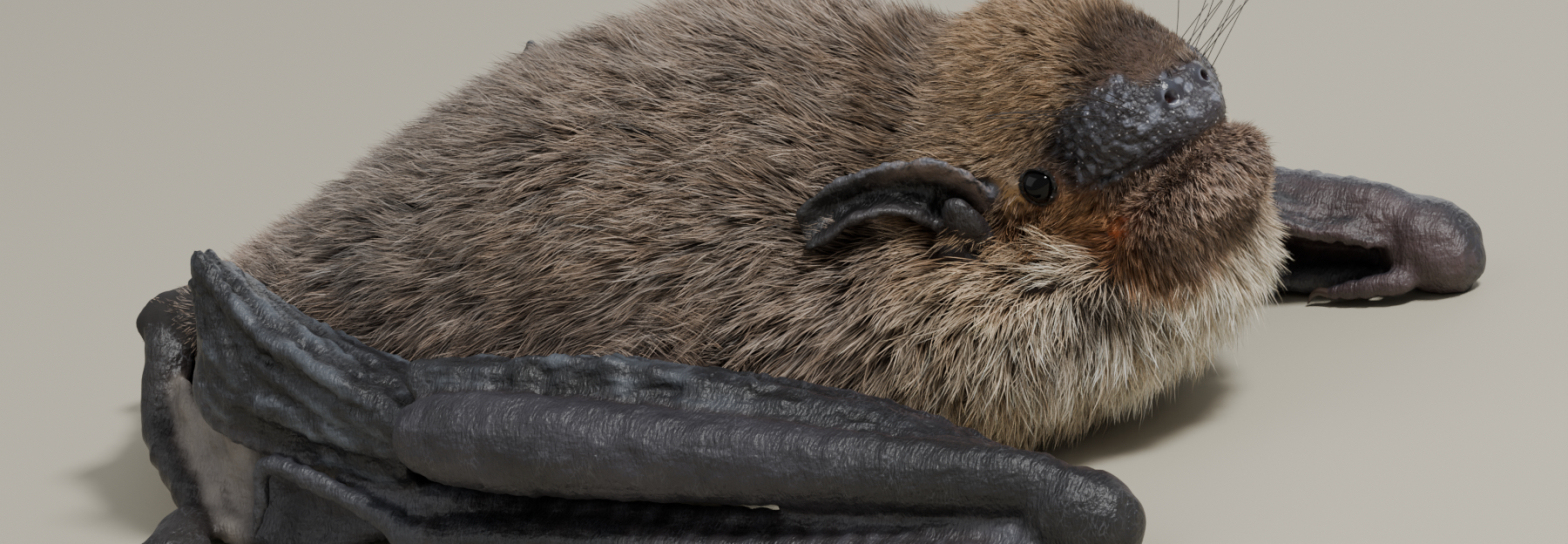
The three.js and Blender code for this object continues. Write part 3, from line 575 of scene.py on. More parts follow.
# ---- Skin ----
# One continuous skin over all the flesh: hidden under the coat on trunk and head, bare on muzzle, ears, legs,
# wings and tail. It is drawn once round all the forms above, then given its lids, lips, nostrils and folds.

GRAIN = 0.21  # size of the skin's facets
FURRED = ("trunk", "head", "upper_arm", "thigh")
KINDS = (*FURRED, "ear", "tragus", "arm", "finger", "membrane", "tail_skin", "leg", "foot")


def mesh_of(name, corners, faces):
    """A mesh of four-cornered faces. A face that names its last corner twice is a triangle."""
    made = bpy.data.meshes.new(name)
    triangle = faces[:, 2] == faces[:, 3]
    kept = np.ones(faces.shape, bool)
    kept[:, 3] = ~triangle
    starts = np.concatenate([[0], np.cumsum(np.where(triangle, 3, 4))[:-1]])
    made.vertices.add(len(corners))
    made.vertices.foreach_set("co", np.asarray(corners, np.float32).ravel())
    made.loops.add(int(kept.sum()))
    made.loops.foreach_set("vertex_index", faces[kept].astype(np.int32))
    made.polygons.add(len(faces))
    made.polygons.foreach_set("loop_start", starts.astype(np.int32))
    made.update(calc_edges=True)
    return made


def joined(forms):
    """Several (corners, faces) as one, and the number of each one's first corner."""
    first = np.cumsum([0] + [len(corners) for corners, _ in forms])
    faces = [faces + n for (_, faces), n in zip(forms, first)]
    return np.vstack([corners for corners, _ in forms]), np.vstack(faces), first


def read(items, what, width, kind=np.float32):
    out = np.empty(len(items) * width, kind)
    items.foreach_get(what, out)
    return out.reshape(-1, width) if width > 1 else out


def wrapped(name, forms, facet):
    """One closed mesh round all the forms, in millimetres."""
    obj = bpy.data.objects.new(name, mesh_of(name, *joined(forms)[:2]))
    bpy.context.scene.collection.objects.link(obj)
    wrap = obj.modifiers.new("wrap", "REMESH")
    wrap.mode, wrap.voxel_size = "VOXEL", facet
    made = bpy.data.meshes.new_from_object(obj.evaluated_get(bpy.context.evaluated_depsgraph_get()))
    bpy.data.objects.remove(obj)
    return made


def relax(values, edges, rounds, weight=0.5):
    """Each corner's values drawn towards its neighbours' mean, by one weight or one for each corner."""
    values = np.array(values, float)
    flat = values.reshape(len(values), -1)
    a, b = edges.T
    count = np.maximum(np.bincount(a, minlength=len(flat)) + np.bincount(b, minlength=len(flat)), 1)
    weight = np.broadcast_to(weight, len(flat))
    for _ in range(rounds):
        for k in range(flat.shape[1]):
            total = np.bincount(a, flat[b, k], len(flat)) + np.bincount(b, flat[a, k], len(flat))
            flat[:, k] += weight * (total / count - flat[:, k])
    return flat.reshape(values.shape)


def corners_in(mesh):
    return read(mesh.vertices, "co", 3)


def edges_of(mesh):
    return read(mesh.edges, "vertices", 2, np.int32)


def place(mesh, corners):
    mesh.vertices.foreach_set("co", np.asarray(corners, np.float32).ravel())
    mesh.update()


def smoothed(mesh, rounds, weight=0.5):
    place(mesh, relax(corners_in(mesh), edges_of(mesh), rounds, weight))


def nearest_of(places, points):
    """The number of the place that is nearest to each point."""
    tree = KDTree(len(places))
    for i, at in enumerate(places):
        tree.insert(at, i)
    tree.balance()
    return np.array([tree.find(point)[1] for point in points])


def kinds_near(points):
    """Which kind of flesh is nearest to each point: 1 in the column of that kind, and 0 in the others."""
    owner = np.concatenate([np.full(len(corners), KINDS.index(kind)) for kind, corners, _ in flesh])
    corners = np.vstack([corners for _, corners, _ in flesh])
    return np.eye(len(KINDS))[owner[nearest_of(corners, points)]]


def share_of(kinds, *names):
    """The columns of these kinds, added up."""
    return kinds[:, [KINDS.index(name) for name in names]].sum(1)


def finer(mesh, chosen):
    """The mesh with each chosen face parted into four."""
    work = bmesh.new()
    work.from_mesh(mesh)
    work.faces.ensure_lookup_table()
    cut = {edge for i in np.flatnonzero(chosen) for edge in work.faces[i].edges}
    bmesh.ops.subdivide_edges(work, edges=list(cut), cuts=1, use_grid_fill=True)
    work.to_mesh(mesh)
    work.free()


FACE_ROOM = np.array([4.7, 5.0])  # half width and half height of what is drawn finer
FINER_FROM = (-2.4, 0.6)  # each time from this far along the head to its nose

skin_mesh = wrapped("skin", [form[1:] for form in flesh], GRAIN)
under_coat = share_of(kinds_near(corners_in(skin_mesh)), *FURRED)
smoothed(skin_mesh, 3)
smoothed(skin_mesh, 12, 0.5 * relax(under_coat, edges_of(skin_mesh), 4))
for face_back in FINER_FROM:
    middle = in_head(read(skin_mesh.polygons, "center", 3))
    finer(skin_mesh, (middle[:, 0] > face_back) & (np.abs(middle[:, 1:]) < FACE_ROOM).all(1))
    smoothed(skin_mesh, 2, 0.5 * (in_head(corners_in(skin_mesh))[:, 0] > face_back))


def mound(h, centre, size):
    """A soft round hump: 1 at the centre and falling to a third at size from it, in the head's frame."""
    return np.exp(-(((h - centre) / size) ** 2).sum(1))


def from_line(h, line):
    """Distance of each place from a bent line, and the share of the line where it is nearest."""
    line = np.asarray(line, float)
    best, share = np.full(len(h), 1e9), np.zeros(len(h))
    for i, (a, b) in enumerate(zip(line[:-1], line[1:])):
        q = np.clip(((h - a) @ (b - a)) / ((b - a) @ (b - a)), 0, 1)
        gap = size_of(h - a - q[:, None] * (b - a))
        share = np.where(gap < best, (i + q) / (len(line) - 1), share)
        best = np.minimum(best, gap)
    return best, share


MOUTH = [(5.32, 0, -1.3), (5.17, 1.3, -1.32), (3.66, 2.4, -1.34), (1.84, 3.0, -1.21), (-0.55, 3.6, -1.72)]
LOOK = unit(np.array([0.3, 1.0, 0.12]))  # the way that the eye opens
LID_OPENING = (0.86, 0.83)  # half length and half height of the gap between the lids
LID_EDGE = 0.75  # distance of the lids' edge from the middle of the eye
NOSTRIL = np.array([5.95, 1.02, -0.18])

FACE_FORMS = [
    # height, centre and size of each hump and hollow, in the head's frame
    (0.3, (3.9, 2.6, 0.1), (1.25, 1.3, 1.05)),  # the glandular swelling beside the nose
    (-0.3, (1.6, 3.2, 0.3), (0.55, 1.2, 1.0)),  # the furrow behind it
    (-0.22, (3.4, 1.5, 2.2), (1.6, 0.8, 0.5)),  # and above it
    (0.12, (4.9, 1.6, -0.7), (0.7, 0.9, 0.4)),  # upper lip
    (0.2, (0.0, 3.7, 0.1), (1.7, 1.2, 1.6)),  # brow and cheek round the eye
    (0.16, (-0.62, 3.9, 0.72), (0.3, 1.0, 0.26)),  # swelling over the lid
    (-0.16, (5.25, 1.35, -0.35), (0.22, 0.3, 0.2)),  # crease behind the nostril
]
CROWN_DROP = 0.55  # how much deeper the hide lies on the crown, under the longest coat of the head

skin_at = corners_in(skin_mesh).astype(float)
skin_out = read(skin_mesh.vertex_normals, "vector", 3).astype(float)
h = in_half_head(skin_at)
hx, hy, hz = h.T  # forwards, aside and up from between the eyes
mirror = np.where(in_head(skin_at)[:, 1] < 0, -1.0, 1.0)
on_face = (hx > -2.4) & (hy < 4.9) & (np.abs(hz) < 5.2)
relief = sum(height * mound(h, centre, size) for height, centre, size in FACE_FORMS)
# closed lips: a groove with a soft roll above and below it, open a little in front
gap, share = from_line(h, MOUTH)
relief -= (0.34 - 0.2 * share) * np.exp(-((gap / (0.14 - 0.05 * share)) ** 2))
relief += (0.1 - 0.04 * share) * np.exp(-(((gap - 0.32) / 0.16) ** 2))
rough = past(hx, 0.8, 1.8) * short_of(hx, 4.9, 5.4)
relief += rough * (0.035 * ripple(skin_at, 0.4, 3) + 0.03 * ripple(skin_at, 0.2, 4, 24))
skin_at += skin_out * (relief * on_face)[:, None]
on_crown = past(hz, 1.6, 3.6) * past(hx, -5, -2) * short_of(hx, 4.0, 5.2) * short_of(hy, 3.9, 4.9)
skin_at -= skin_out * (CROWN_DROP * on_crown * (skin_at[:, 2] > HEAD_AT[2] - 2.5))[:, None]


def on_sheets(points, surfaces, step):
    """For each place the nearest surface: its number, u and v there, and the way from it to the place."""
    q = np.arange(0, 1 + step / 2, step)
    u, v = (grid.ravel() for grid in np.meshgrid(q, q, indexing="ij"))
    places = np.vstack([surface(u, v) for surface in surfaces])
    nearest = nearest_of(places, points)
    at = nearest % len(u)
    return nearest // len(u), u[at], v[at], points - places[nearest]


# the folded wing skins stand in cords and creases that run along them, with crumples across
CORDS = np.array([7.0, 7.0, 9.0, 9.0, 4.0, 4.0])  # across each sheet, in the order of wing_sheets
CORD_HEIGHT = 0.11
wing_sheets = [make(side) for make in (flank_surface, forearm_surface, heel_surface) for side in SIDES]
of_wing = np.flatnonzero(share_of(kinds_near(skin_at), "membrane", "tail_skin") > 0.5)
which, wing_u, wing_v, off_sheet = on_sheets(skin_at[of_wing], wing_sheets, 0.01)
sway = 1.6 * np.sin(2.6 * wing_v + which) + 1.1 * ripple(skin_at[of_wing], 2.2, 43)
fold = np.sin(2 * np.pi * CORDS[which] * wing_u + sway)
fold += 0.5 * np.sin(2 * np.pi * 2.3 * CORDS[which] * wing_u - 1.7 * sway)
fold += 0.4 * ripple(skin_at[of_wing], 0.9, 44, 24)
fold *= (size_of(off_sheet) < 0.6) * past(wing_v, 0.02, 0.1) * np.where(which < 4, 1.0, 0.35)
folds = np.zeros(len(skin_at))
folds[of_wing] = fold
folds = relax(folds, edges_of(skin_mesh), 1)
skin_at += skin_out * (CORD_HEIGHT * folds)[:, None]

# all bare skin of the limbs and ears is drawn into fine wrinkles, longer across the body than along it
bare_limbs = relax(share_of(kinds_near(skin_at), "thigh", *KINDS[4:]), edges_of(skin_mesh), 3)
wrinkles = 0.045 * ripple(skin_at * (1.6, 0.5, 0.5), 0.42, 41, 24) + 0.04 * ripple(skin_at, 0.7, 42, 24)
skin_at += skin_out * (bare_limbs * wrinkles)[:, None]

# the nostrils are pushed in from the front
NOSTRIL_DEPTH, NOSTRIL_RADIUS = 0.42, 0.2
pit = np.exp(-((size_of(h - NOSTRIL) / NOSTRIL_RADIUS) ** 4)) * on_face
skin_at += pit[:, None] * (on_head([[-NOSTRIL_DEPTH, 0, -0.02]]) - HEAD_AT)

# the lids part over the eyeball
LID_ALONG = unit(np.cross((0, 0, 1), LOOK))
LID_UP = np.cross(LOOK, LID_ALONG)
LID_REACH = 1.7  # how far out the lids are drawn, in millimetres and in sizes of the gap
BEHIND_EYE_FACE = 0.45  # between the lids the skin is drawn back inside the eyeball
h = in_half_head(skin_at)
hx, hy, hz = h.T
from_eye = h - EYE_AT
reach = size_of(from_eye)
oval = np.hypot(from_eye @ LID_ALONG / LID_OPENING[0], from_eye @ LID_UP / LID_OPENING[1])
ahead_of_eye = (from_eye @ LOOK > 0) & (reach < LID_REACH)
wanted = reach + (LID_EDGE - reach) * short_of(oval, 1.0, 1.5) * ahead_of_eye
wanted += 0.05 * np.exp(-(((oval - 1.1) / 0.08) ** 2)) * ahead_of_eye
wanted += (BEHIND_EYE_FACE - wanted) * short_of(oval, 0.92, 0.99) * ahead_of_eye
moved = EYE_AT + unit(from_eye) * wanted[:, None]
moved[:, 1] *= mirror
chosen = ahead_of_eye & (oval < LID_REACH)
skin_at[chosen] = on_head(moved[chosen])

kinds = relax(kinds_near(skin_at), edges_of(skin_mesh), 5)
kind = dict(zip(KINDS, kinds.T))
skin_at[:, 2] = np.maximum(skin_at[:, 2], 0.0)
place(skin_mesh, skin_at)
skin_out = read(skin_mesh.vertex_normals, "vector", 3).astype(float)


def linear(colour):
    """An sRGB hex colour as linear red, green and blue."""
    c = np.array([int(colour[i : i + 2], 16) for i in (1, 3, 5)]) / 255
    return np.where(c <= 0.04045, c / 12.92, ((c + 0.055) / 1.055) ** 2.4)


class Paint:
    """Colour laid on a set of places in soft coats."""

    def __init__(self, count, colour):
        self.hue = np.tile(linear(colour), (count, 1))

    def lay(self, colour, cover):
        cover = np.clip(cover, 0, 1)[:, None]
        self.hue += cover * (linear(colour) - self.hue)


# the swelling, nose and lips are bare; the ring round the eye and the jaw's edge nearly so
muzzle = past(hx + 0.25 * ripple(skin_at, 0.8, 5), 1.0, 2.0)
top_of_nose = 1.5 - 1.1 * past(hx, 4.2, 5.4) * short_of(hy, 1.2, 2.0) - 0.5 * short_of(hx, 1.6, 2.8)
muzzle *= short_of(hz + 0.2 * ripple(skin_at, 0.6, 6) - top_of_nose, -0.3, 0.5)
muzzle *= past(hz + 0.15 * ripple(skin_at, 0.5, 7), -1.9, -1.4)
lower_lip = past(hx, 3.4, 4.4) * past(hz, -2.1, -1.8) * short_of(hz, -1.5, -1.2)
beside_eye = size_of((h - EYE_AT)[:, [0, 2]])
eye_ring = short_of(beside_eye, 0.85, 1.2) * (hy > 2)
behind_eye = mound(h, (-1.35, 4.2, 0.25), (0.7, 1.3, 0.8))
jaw_edge = mound(h, (0.5, 3.3, -3.1), (1.9, 1.5, 0.75))
jaw_rim = np.exp(-(((hz + 3.8) / 0.18) ** 2)) * mound(h, (0.4, 3.2, -3.8), (1.9, 1.6, 1))
cheek = past(-hz, -0.6, 0.8) * short_of(hx, 1.2, 2.6) * past(hx, -3.0, -1.2)
bare = np.clip(muzzle + lower_lip, 0, 1)
head = kind["head"]

paint = Paint(len(skin_at), "#3a2c25")
for colour, cover in (
    ("#3d2a1f", head * past(hx, -3.0, -1.2)),
    ("#6e4429", 0.9 * cheek * head),
    ("#b08a5c", 0.9 * behind_eye * head),
    ("#33231a", 0.9 * short_of(beside_eye, 0.8, 1.0) * (hy > 2)),
    ("#a04c22", jaw_edge * head),
    ("#c99a6c", head * jaw_rim),
    ("#29262b", muzzle * head),
    ("#5d5f6b", muzzle * head * past(ripple(skin_at, 0.26, 15, 24), 0.1, 0.9)),
    ("#2c272d", lower_lip * head),
    # painted shade in the groove between the lips
    ("#0c0809", np.exp(-((gap / 0.12) ** 2)) * on_face * past(hx, 1.0, 3.0)),  # between the lips
    ("#3c424e", 0.8 * mound(h, (5.75, 0.85, 0.2), (0.4, 0.4, 0.3)) * on_face),  # wet top of the nose
    # painted shade, dark red, in the pits of the nostrils
    ("#2a0f0b", pit),
    ("#b4a08c", 0.8 * mound(h, (-0.68, 3.9, 0.74), (0.3, 1.2, 0.24)) * on_face),  # over the lid
    ("#070505", short_of(oval, 1.04, 1.14) * ahead_of_eye),  # the lids' rims
):
    paint.lay(colour, cover)

# ears: painted shade dark in the hollow; inside the front rim their own paler, pinkish skin, lightened
# further by painted light; and a painted bluish highlight along the front edge
of_ear = np.flatnonzero(kind["ear"] > 0.1)
ears = [ear_surface(side) for side in SIDES]
of_side, ear_u, ear_v, off_sheet = on_sheets(skin_at[of_ear], ears, 0.025)
inwards = EAR_INTO_HEAD * np.where(of_side == 0, -1, 1)[:, None] ** np.array([0, 1, 0])
in_hollow = (off_sheet * (inwards @ HEAD_TURNED.T)).sum(1) < 0
ear_hue = Paint(len(of_ear), "#1f1d1e")
for colour, cover in (
    # painted shade in the hollow
    ("#0b0909", in_hollow * past(ear_v, 0.1, 0.3) * short_of(ear_u, 0.72, 0.9)),
    # the front rim's own paler skin, with painted light on it
    ("#85736a", in_hollow * short_of(ear_v, 0.1, 0.32) * short_of(ear_u, 0.35, 0.7)),
    # painted highlight along the front edge
    ("#5a5a62", short_of(ear_v, 0.0, 0.04) * short_of(ear_u, 0.5, 0.9)),
    ("#3a3638", 0.7 * past(ear_v, 0.85, 0.97) * short_of(ear_u, 0.7, 0.9)),
):
    ear_hue.lay(colour, cover)
cover = np.clip(kind["ear"][of_ear], 0, 1)[:, None]
paint.hue[of_ear] += cover * (ear_hue.hue - paint.hue[of_ear])

# arms and wings: charcoal, with painted light on the cords, paler and bluer towards the front, and painted
# shade in the creases between them, on the tail skin too
x, y = skin_at[:, 0], skin_at[:, 1]
inner_side = past(-skin_out[:, 1] * np.sign(y), 0.1, 0.6)
cord_highlight = kind["membrane"] * past(folds, 0.1, 1.3)
for colour, cover in (
    ("#2a2627", kind["tragus"]),
    ("#573a28", mound(h, (-3.0, 5.0, -1.6), (1.6, 1.3, 0.9)) * (kind["ear"] + head)),
    ("#2b292f", kind["arm"]),
    ("#1b1a1d", kind["arm"] * past(x, 1.0, 8.0) * (y < 0)),
    ("#39393f", kind["finger"]),
    ("#1b1b1f", kind["membrane"]),
    # painted highlights on the cords of the wing skins
    ("#464b52", cord_highlight * short_of(x, -6, 6)),
    ("#242428", cord_highlight * past(x, -6, 6)),
    # painted shade in the creases between the cords
    ("#0d0c0d", kind["membrane"] * past(-folds, 0.4, 1.3)),
    ("#4a3b3c", 0.8 * inner_side * (kind["arm"] + kind["membrane"]) * past(x, -2, 4)),
    ("#7b736c", kind["tail_skin"]),
    # painted shade in the creases of the tail skin
    ("#4d4642", kind["tail_skin"] * past(-folds, 0.1, 0.6)),
    ("#2a282c", kind["tail_skin"] * past(x, -24.6, -23.0)),
    ("#221e1d", kind["leg"] + kind["foot"] + kind["thigh"]),
):
    paint.lay(colour, cover)
paint.hue *= (1 + 0.22 * ripple(skin_at, 1.6, 8) + 0.12 * ripple(skin_at, 0.4, 9))[:, None]
paint.hue = np.clip(paint.hue, 0, 1)


def add_node(material, kind, inputs=None, **settings):
    """A node of this kind, with its settings, and each input given as a value or as another node's output."""
    made = material.node_tree.nodes.new(kind)
    for name, value in settings.items():
        setattr(made, name, value)
    for name, value in (inputs or {}).items():
        if isinstance(value, bpy.types.NodeSocket):
            material.node_tree.links.new(value, made.inputs[name])
        else:
            made.inputs[name].default_value = value
    return made


def new_material(name, colour, **sockets):
    """A material and its shader, with sockets set by name. colour is a hex colour or a mesh attribute."""
    made = bpy.data.materials.new(name)
    made.use_nodes = True
    shader = made.node_tree.nodes["Principled BSDF"]
    for word, value in sockets.items():
        shader.inputs[word.replace("_", " ")].default_value = value
    if colour.startswith("#"):
        shader.inputs["Base Color"].default_value = (*linear(colour), 1)
    else:
        hue = add_node(made, "ShaderNodeAttribute", attribute_name=colour)
        made.node_tree.links.new(hue.outputs["Color"], shader.inputs["Base Color"])
    return made, shader


def raise_surface(material, shader, layers):
    """Relief in the shader. Each layer is (height output, depth in millimetres)."""
    relief = None
    for height, depth in layers:
        inputs = {"Height": height, "Distance": depth * MM, "Strength": 1.0}
        if relief:
            inputs["Normal"] = relief.outputs["Normal"]
        relief = add_node(material, "ShaderNodeBump", inputs)
    material.node_tree.links.new(relief.outputs["Normal"], shader.inputs["Normal"])


def skin_grain(material, size, detail=3.0, stretch=None):
    """Grain with humps of about size millimetres, finer along X, Y or Z where stretch is over 1."""
    where = add_node(material, "ShaderNodeTexCoord").outputs["Object"]
    if stretch:
        where = add_node(material, "ShaderNodeMapping", {"Vector": where, "Scale": stretch}).outputs["Vector"]
    noise = {"Vector": where, "Scale": 1 / (size * MM), "Detail": detail}
    return add_node(material, "ShaderNodeTexNoise", noise).outputs["Fac"]


def lay_over(material, shader, share, colour):
    """A second colour over the surface's own, as far as share says at each place."""
    own = shader.inputs["Base Color"].links[0].from_socket
    mixed = add_node(material, "ShaderNodeMix", {0: share, 6: own, 7: (*linear(colour), 1)}, data_type="RGBA")
    material.node_tree.links.new(mixed.outputs[2], shader.inputs["Base Color"])


# Hide under the coat: dry and matt, so that nothing glints between the hairs.
hide, shader = new_material("hide_under_coat", "hue", Roughness=0.8)
raise_surface(hide, shader, [(skin_grain(hide, 0.3), 0.03)])

# Moist bare skin of the muzzle: fine warts 0.2 mm apart, and painted highlights: pale round spots laid into
# its colour that stand in for the glints of light on its droplets and flakes.
WART, GLINT_SPACING = 0.2, 0.24  # how far apart they are
moist, shader = new_material("moist_muzzle_skin", "hue", Roughness=0.42)
where = add_node(moist, "ShaderNodeTexCoord").outputs["Object"]
warts = add_node(moist, "ShaderNodeTexVoronoi", {"Vector": where, "Scale": 1 / (WART * MM)})
raise_surface(moist, shader, [(warts.outputs["Distance"], -0.07), (skin_grain(moist, 0.11), 0.8 * 0.07)])
cells = add_node(moist, "ShaderNodeTexVoronoi", {"Vector": where, "Scale": 1 / (GLINT_SPACING * MM)})
round_spots = add_node(
    moist,
    "ShaderNodeMapRange",
    {"Value": cells.outputs["Distance"], "From Min": 0.1, "From Max": 0.2, "To Min": 1.0, "To Max": 0.0},
).outputs["Result"]
lot = add_node(moist, "ShaderNodeSeparateColor", {"Color": cells.outputs["Color"]}).outputs["Red"]
half_of_them = add_node(moist, "ShaderNodeMath", {0: lot, 1: 0.5}, operation="GREATER_THAN").outputs["Value"]
painted_glints = add_node(moist, "ShaderNodeMath", {0: round_spots, 1: half_of_them}, operation="MULTIPLY")
# painted highlights: the pale glint spots laid over the skin's colour
lay_over(moist, shader, painted_glints.outputs["Value"], "#a9a4a8")

# Wet skin round the nostrils: smoother, and the glossiest of the bare skin.
nose_skin, shader = new_material("wet_nose_skin", "hue", Roughness=0.26)
raise_surface(nose_skin, shader, [(skin_grain(nose_skin, 0.16), 0.03)])

# Wing skin and ear gristle: dry, supple and finely wrinkled, with a dull sheen and pale creases that cross.
# The creases are about 0.2 mm apart on the animal, and are drawn 0.4 mm apart so that they show.
CREASE, BEND, BEND_APART = 0.4, 0.5, 1.2  # spacing of the creases, and how far and how often they bend
supple, shader = new_material("wing_membrane_skin", "hue", Roughness=0.42)
where = add_node(supple, "ShaderNodeTexCoord").outputs["Object"]
wander = {"Vector": where, "Scale": 1 / (BEND_APART * MM)}
wander = add_node(supple, "ShaderNodeTexNoise", wander).outputs["Color"]
bend = add_node(supple, "ShaderNodeVectorMath", {0: wander, "Scale": BEND * MM}, operation="SCALE").outputs[0]
bent = add_node(supple, "ShaderNodeVectorMath", {0: where, 1: bend}, operation="ADD").outputs["Vector"]
drawn_out = {"Vector": bent, "Scale": (2.4, 0.6, 0.6)}
long_cells = add_node(supple, "ShaderNodeMapping", drawn_out).outputs["Vector"]
cells = {"Vector": long_cells, "Scale": 1 / (CREASE * MM)}
creases = add_node(supple, "ShaderNodeTexVoronoi", cells, feature="DISTANCE_TO_EDGE").outputs["Distance"]
crease_line, in_patches = (
    add_node(
        supple,
        "ShaderNodeMapRange",
        {"Value": value, "From Min": low, "From Max": high, "To Min": start, "To Max": end},
    ).outputs["Result"]
    for value, low, high, start, end in (
        (creases, 0.0, 0.07, 1.0, 0.0),
        (skin_grain(supple, 1.3), 0.45, 0.7, 0.0, 0.2),
    )
)
paleness = add_node(supple, "ShaderNodeMath", {0: crease_line, 1: in_patches}, operation="MULTIPLY")
lay_over(supple, shader, paleness.outputs["Value"], "#8d8f98")
fine_wrinkles = skin_grain(supple, 0.25, 4.0, (2.2, 0.7, 1.0))
broad_wrinkles = skin_grain(supple, 0.9, 3.0, (0.5, 1.2, 1.6))
raise_surface(supple, shader, [(creases, 0.03), (fine_wrinkles, 0.09), (broad_wrinkles, 0.16)])


def put_colour(mesh, hue):
    layer = mesh.color_attributes.new("hue", "FLOAT_COLOR", "POINT")
    layer.data.foreach_set("color", np.hstack([hue, np.ones((len(hue), 1))]).astype(np.float32).ravel())


def corner_of_loop(mesh):
    return read(mesh.loops, "vertex_index", 1, np.int32)


def shown(name, mesh, *materials):
    """The mesh as a piece of the animal, in metres, riding on its one body."""
    mesh.transform(Matrix.Scale(MM, 4))
    mesh.name = name
    mesh.materials.clear()
    for material in materials:
        mesh.materials.append(material)
    mesh.shade_smooth()
    obj = bpy.data.objects.new(name, mesh)
    bpy.context.scene.collection.objects.link(obj)
    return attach(obj, "root")


BARE_FROM = 0.35  # share of bare skin from which the face takes the moist skin's finish
NOSE_AT, NOSE_RADIUS = (5.75, 0.9, -0.1), 0.62  # where the skin is wet
put_colour(skin_mesh, paint.hue)
first_corner = corner_of_loop(skin_mesh)[read(skin_mesh.polygons, "loop_start", 1, np.int32)]
furred = kind["trunk"] + head + kind["upper_arm"] + kind["thigh"]
face_skin = np.clip(bare * head + eye_ring + jaw_edge, 0, 1) * head + (pit > 0.1)
finishes = (hide, moist, supple, nose_skin)
finish = np.where(furred > 0.5, finishes.index(hide), finishes.index(supple))
finish[face_skin > BARE_FROM] = finishes.index(moist)
finish[on_face & (size_of(h - NOSE_AT) < NOSE_RADIUS)] = finishes.index(nose_skin)
skin_mesh_kept = skin_mesh.copy()
skin = shown("skin", skin_mesh, *finishes)
skin_mesh.polygons.foreach_set("material_index", finish[first_corner].astype(np.int32))
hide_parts(*(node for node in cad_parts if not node.endswith("_eye")))

# ---- Eyes ----
# Small black beads, wet and very glossy, sunk between the lids.

wet, _ = new_material("wet_black_eye", "#030203", Roughness=0.06, IOR=1.36, Specular_IOR_Level=0.4)
for side, name in zip(SIDES, ("right_eye", "left_eye")):
    corners, faces = set_on_head(ball(EYE_AT * (1, side, 1), EYE_RADIUS - 0.01, 40))
    eye = shown(f"{name}_ball", mesh_of(name, corners, faces), wet)
    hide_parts(name)

# ---- Claws ----
# Hooked horn claws on the ten toes and two thumbs, each a curved cone growing out of the digit's end.

TOE_CLAW = ((1 - CLAW_SHARE, 0.55, 0.17), (0.82, 0.68, 0.15), (0.93, 0.5, 0.1), (1.0, 0.12, 0.02))
THUMB_CLAW = (
    (10.3, 12.4, 0.5, 0.2),
    (9.8, 12.4, 0.6, 0.17),
    (9.45, 12.35, 0.42, 0.1),
    (9.25, 12.3, 0.12, 0.02),
)
horn, _ = new_material("claw_horn", "#3b2f29", Roughness=0.3, IOR=1.54)
claws = []
for side in SIDES:
    for i in range(TOES):
        root, end = toe_line(i, side)
        claws.append(limb([(*between(root, end, s)[:2], z, r) for s, z, r in TOE_CLAW], 14, 10))
    claws.append(limb([(x, y * side, z, r) for x, y, z, r in THUMB_CLAW], 16, 10))
corners, faces, _ = joined(claws)
corners[:, 2] = np.maximum(corners[:, 2], 0.0)
shown("claws", mesh_of("claws", corners, faces), horn)

# ---- Coat ----
# Soft fur in fine pointed locks, dark at the roots and paler at the tips, rooted in the hide and lying back
# along the body. It is short on the face, looser on throat and chest, and fills the space out to the solids.

STRAND_WIDTH = 0.04  # the real hairs are about 0.015 mm across; one strand stands for a few, so that it shows
STRAND_STEPS = np.array([0.0, 0.4, 0.75, 1.0])  # shares of its length
STRAND_TAPER = np.array([0.9, 1.0, 0.7, 0.0])
STRANDS_ON_BODY, STRANDS_ON_HEAD = 11, 8  # in each tuft
TUFTS, MORE_ON_HEAD, MORE_ON_FACE = 10.0, 10.0, 36.0  # on a square millimetre
LOCK_SPREAD = 0.8  # how far apart the tips of a lock are, against its roots
ROOTED = 0.12  # how deep the strands start in the hide
MID_HUE = 0.55  # share of a strand's length at which it has its middle colour
EYE_CLEAR, EAR_CLEAR = 0.86, 0.3  # no tip comes nearer to the middle of an eye, or to an ear's sheet
OVER_FLOOR = 0.02
COAT_SEED = 11
OUTLINE_FACET = 0.35
UNWRAP_PATCH = 0.003

coat_forms = [
    loft(TRUNK, 110, 90, 0.0, TRUNK_SQUARE),
    set_on_head(loft(SKULL, 90, 80, 0.0, SKULL_SQUARE)),
    set_on_head(loft(CHIN, 60, 60, 0.0, CHIN_SQUARE)),
    *(limb_form(side) for side in SIDES for limb_form in (upper_arm, thigh)),
]
outline = wrapped("outline", coat_forms, OUTLINE_FACET)
smoothed(outline, 3)
outline_faces = [list(face.vertices) for face in outline.polygons]
outline_tree = BVHTree.FromPolygons([v.co for v in outline.vertices], outline_faces)


def on_outline(points):
    """The nearest place of each point on the coat's outline, and which way is out there."""
    found = [outline_tree.find_nearest(Vector(p)) for p in points]
    return np.array([f[0] for f in found]), np.array([f[1] for f in found])


along_thigh = (HIP[0] - skin_at[:, 0]) / (HIP[0] - KNEE[0])
fur = furred * (1 - 0.85 * bare * on_face)
fur *= 1 - 0.6 * head * eye_ring
fur *= 1 - head * np.clip(0.65 * jaw_edge + 0.5 * behind_eye, 0, 1)
fur *= 1 - kind["thigh"] * past(along_thigh, 0.7, 0.95)
nose_tip = (hx > 5.2) * on_face * (np.abs(hz + 0.45) < 0.8)
fur = np.clip(fur, 0, 1) * (furred > 0.5) * (1 - nose_tip)
tufts_per_mm2 = fur * (TUFTS + MORE_ON_HEAD * head + MORE_ON_FACE * (head * past(hx, -3.0, 0.5)))

dice = np.random.default_rng(COAT_SEED)
skin_mesh_kept.calc_loop_triangles()
triangles = read(skin_mesh_kept.loop_triangles, "vertices", 3, np.int32)
a, b, c = (skin_at[triangles[:, i]] for i in range(3))
chance = np.cumsum(size_of(np.cross(b - a, c - a)) / 2 * tufts_per_mm2[triangles].mean(1))
picked = np.searchsorted(chance, dice.random(int(chance[-1])) * chance[-1])
share = dice.dirichlet((1, 1, 1), len(picked))


def at_root(values):
    """Values of the skin's corners, taken at each tuft's root."""
    v = values[triangles[picked]]
    return (v * share.reshape(*share.shape, *[1] * (v.ndim - 2))).sum(1)


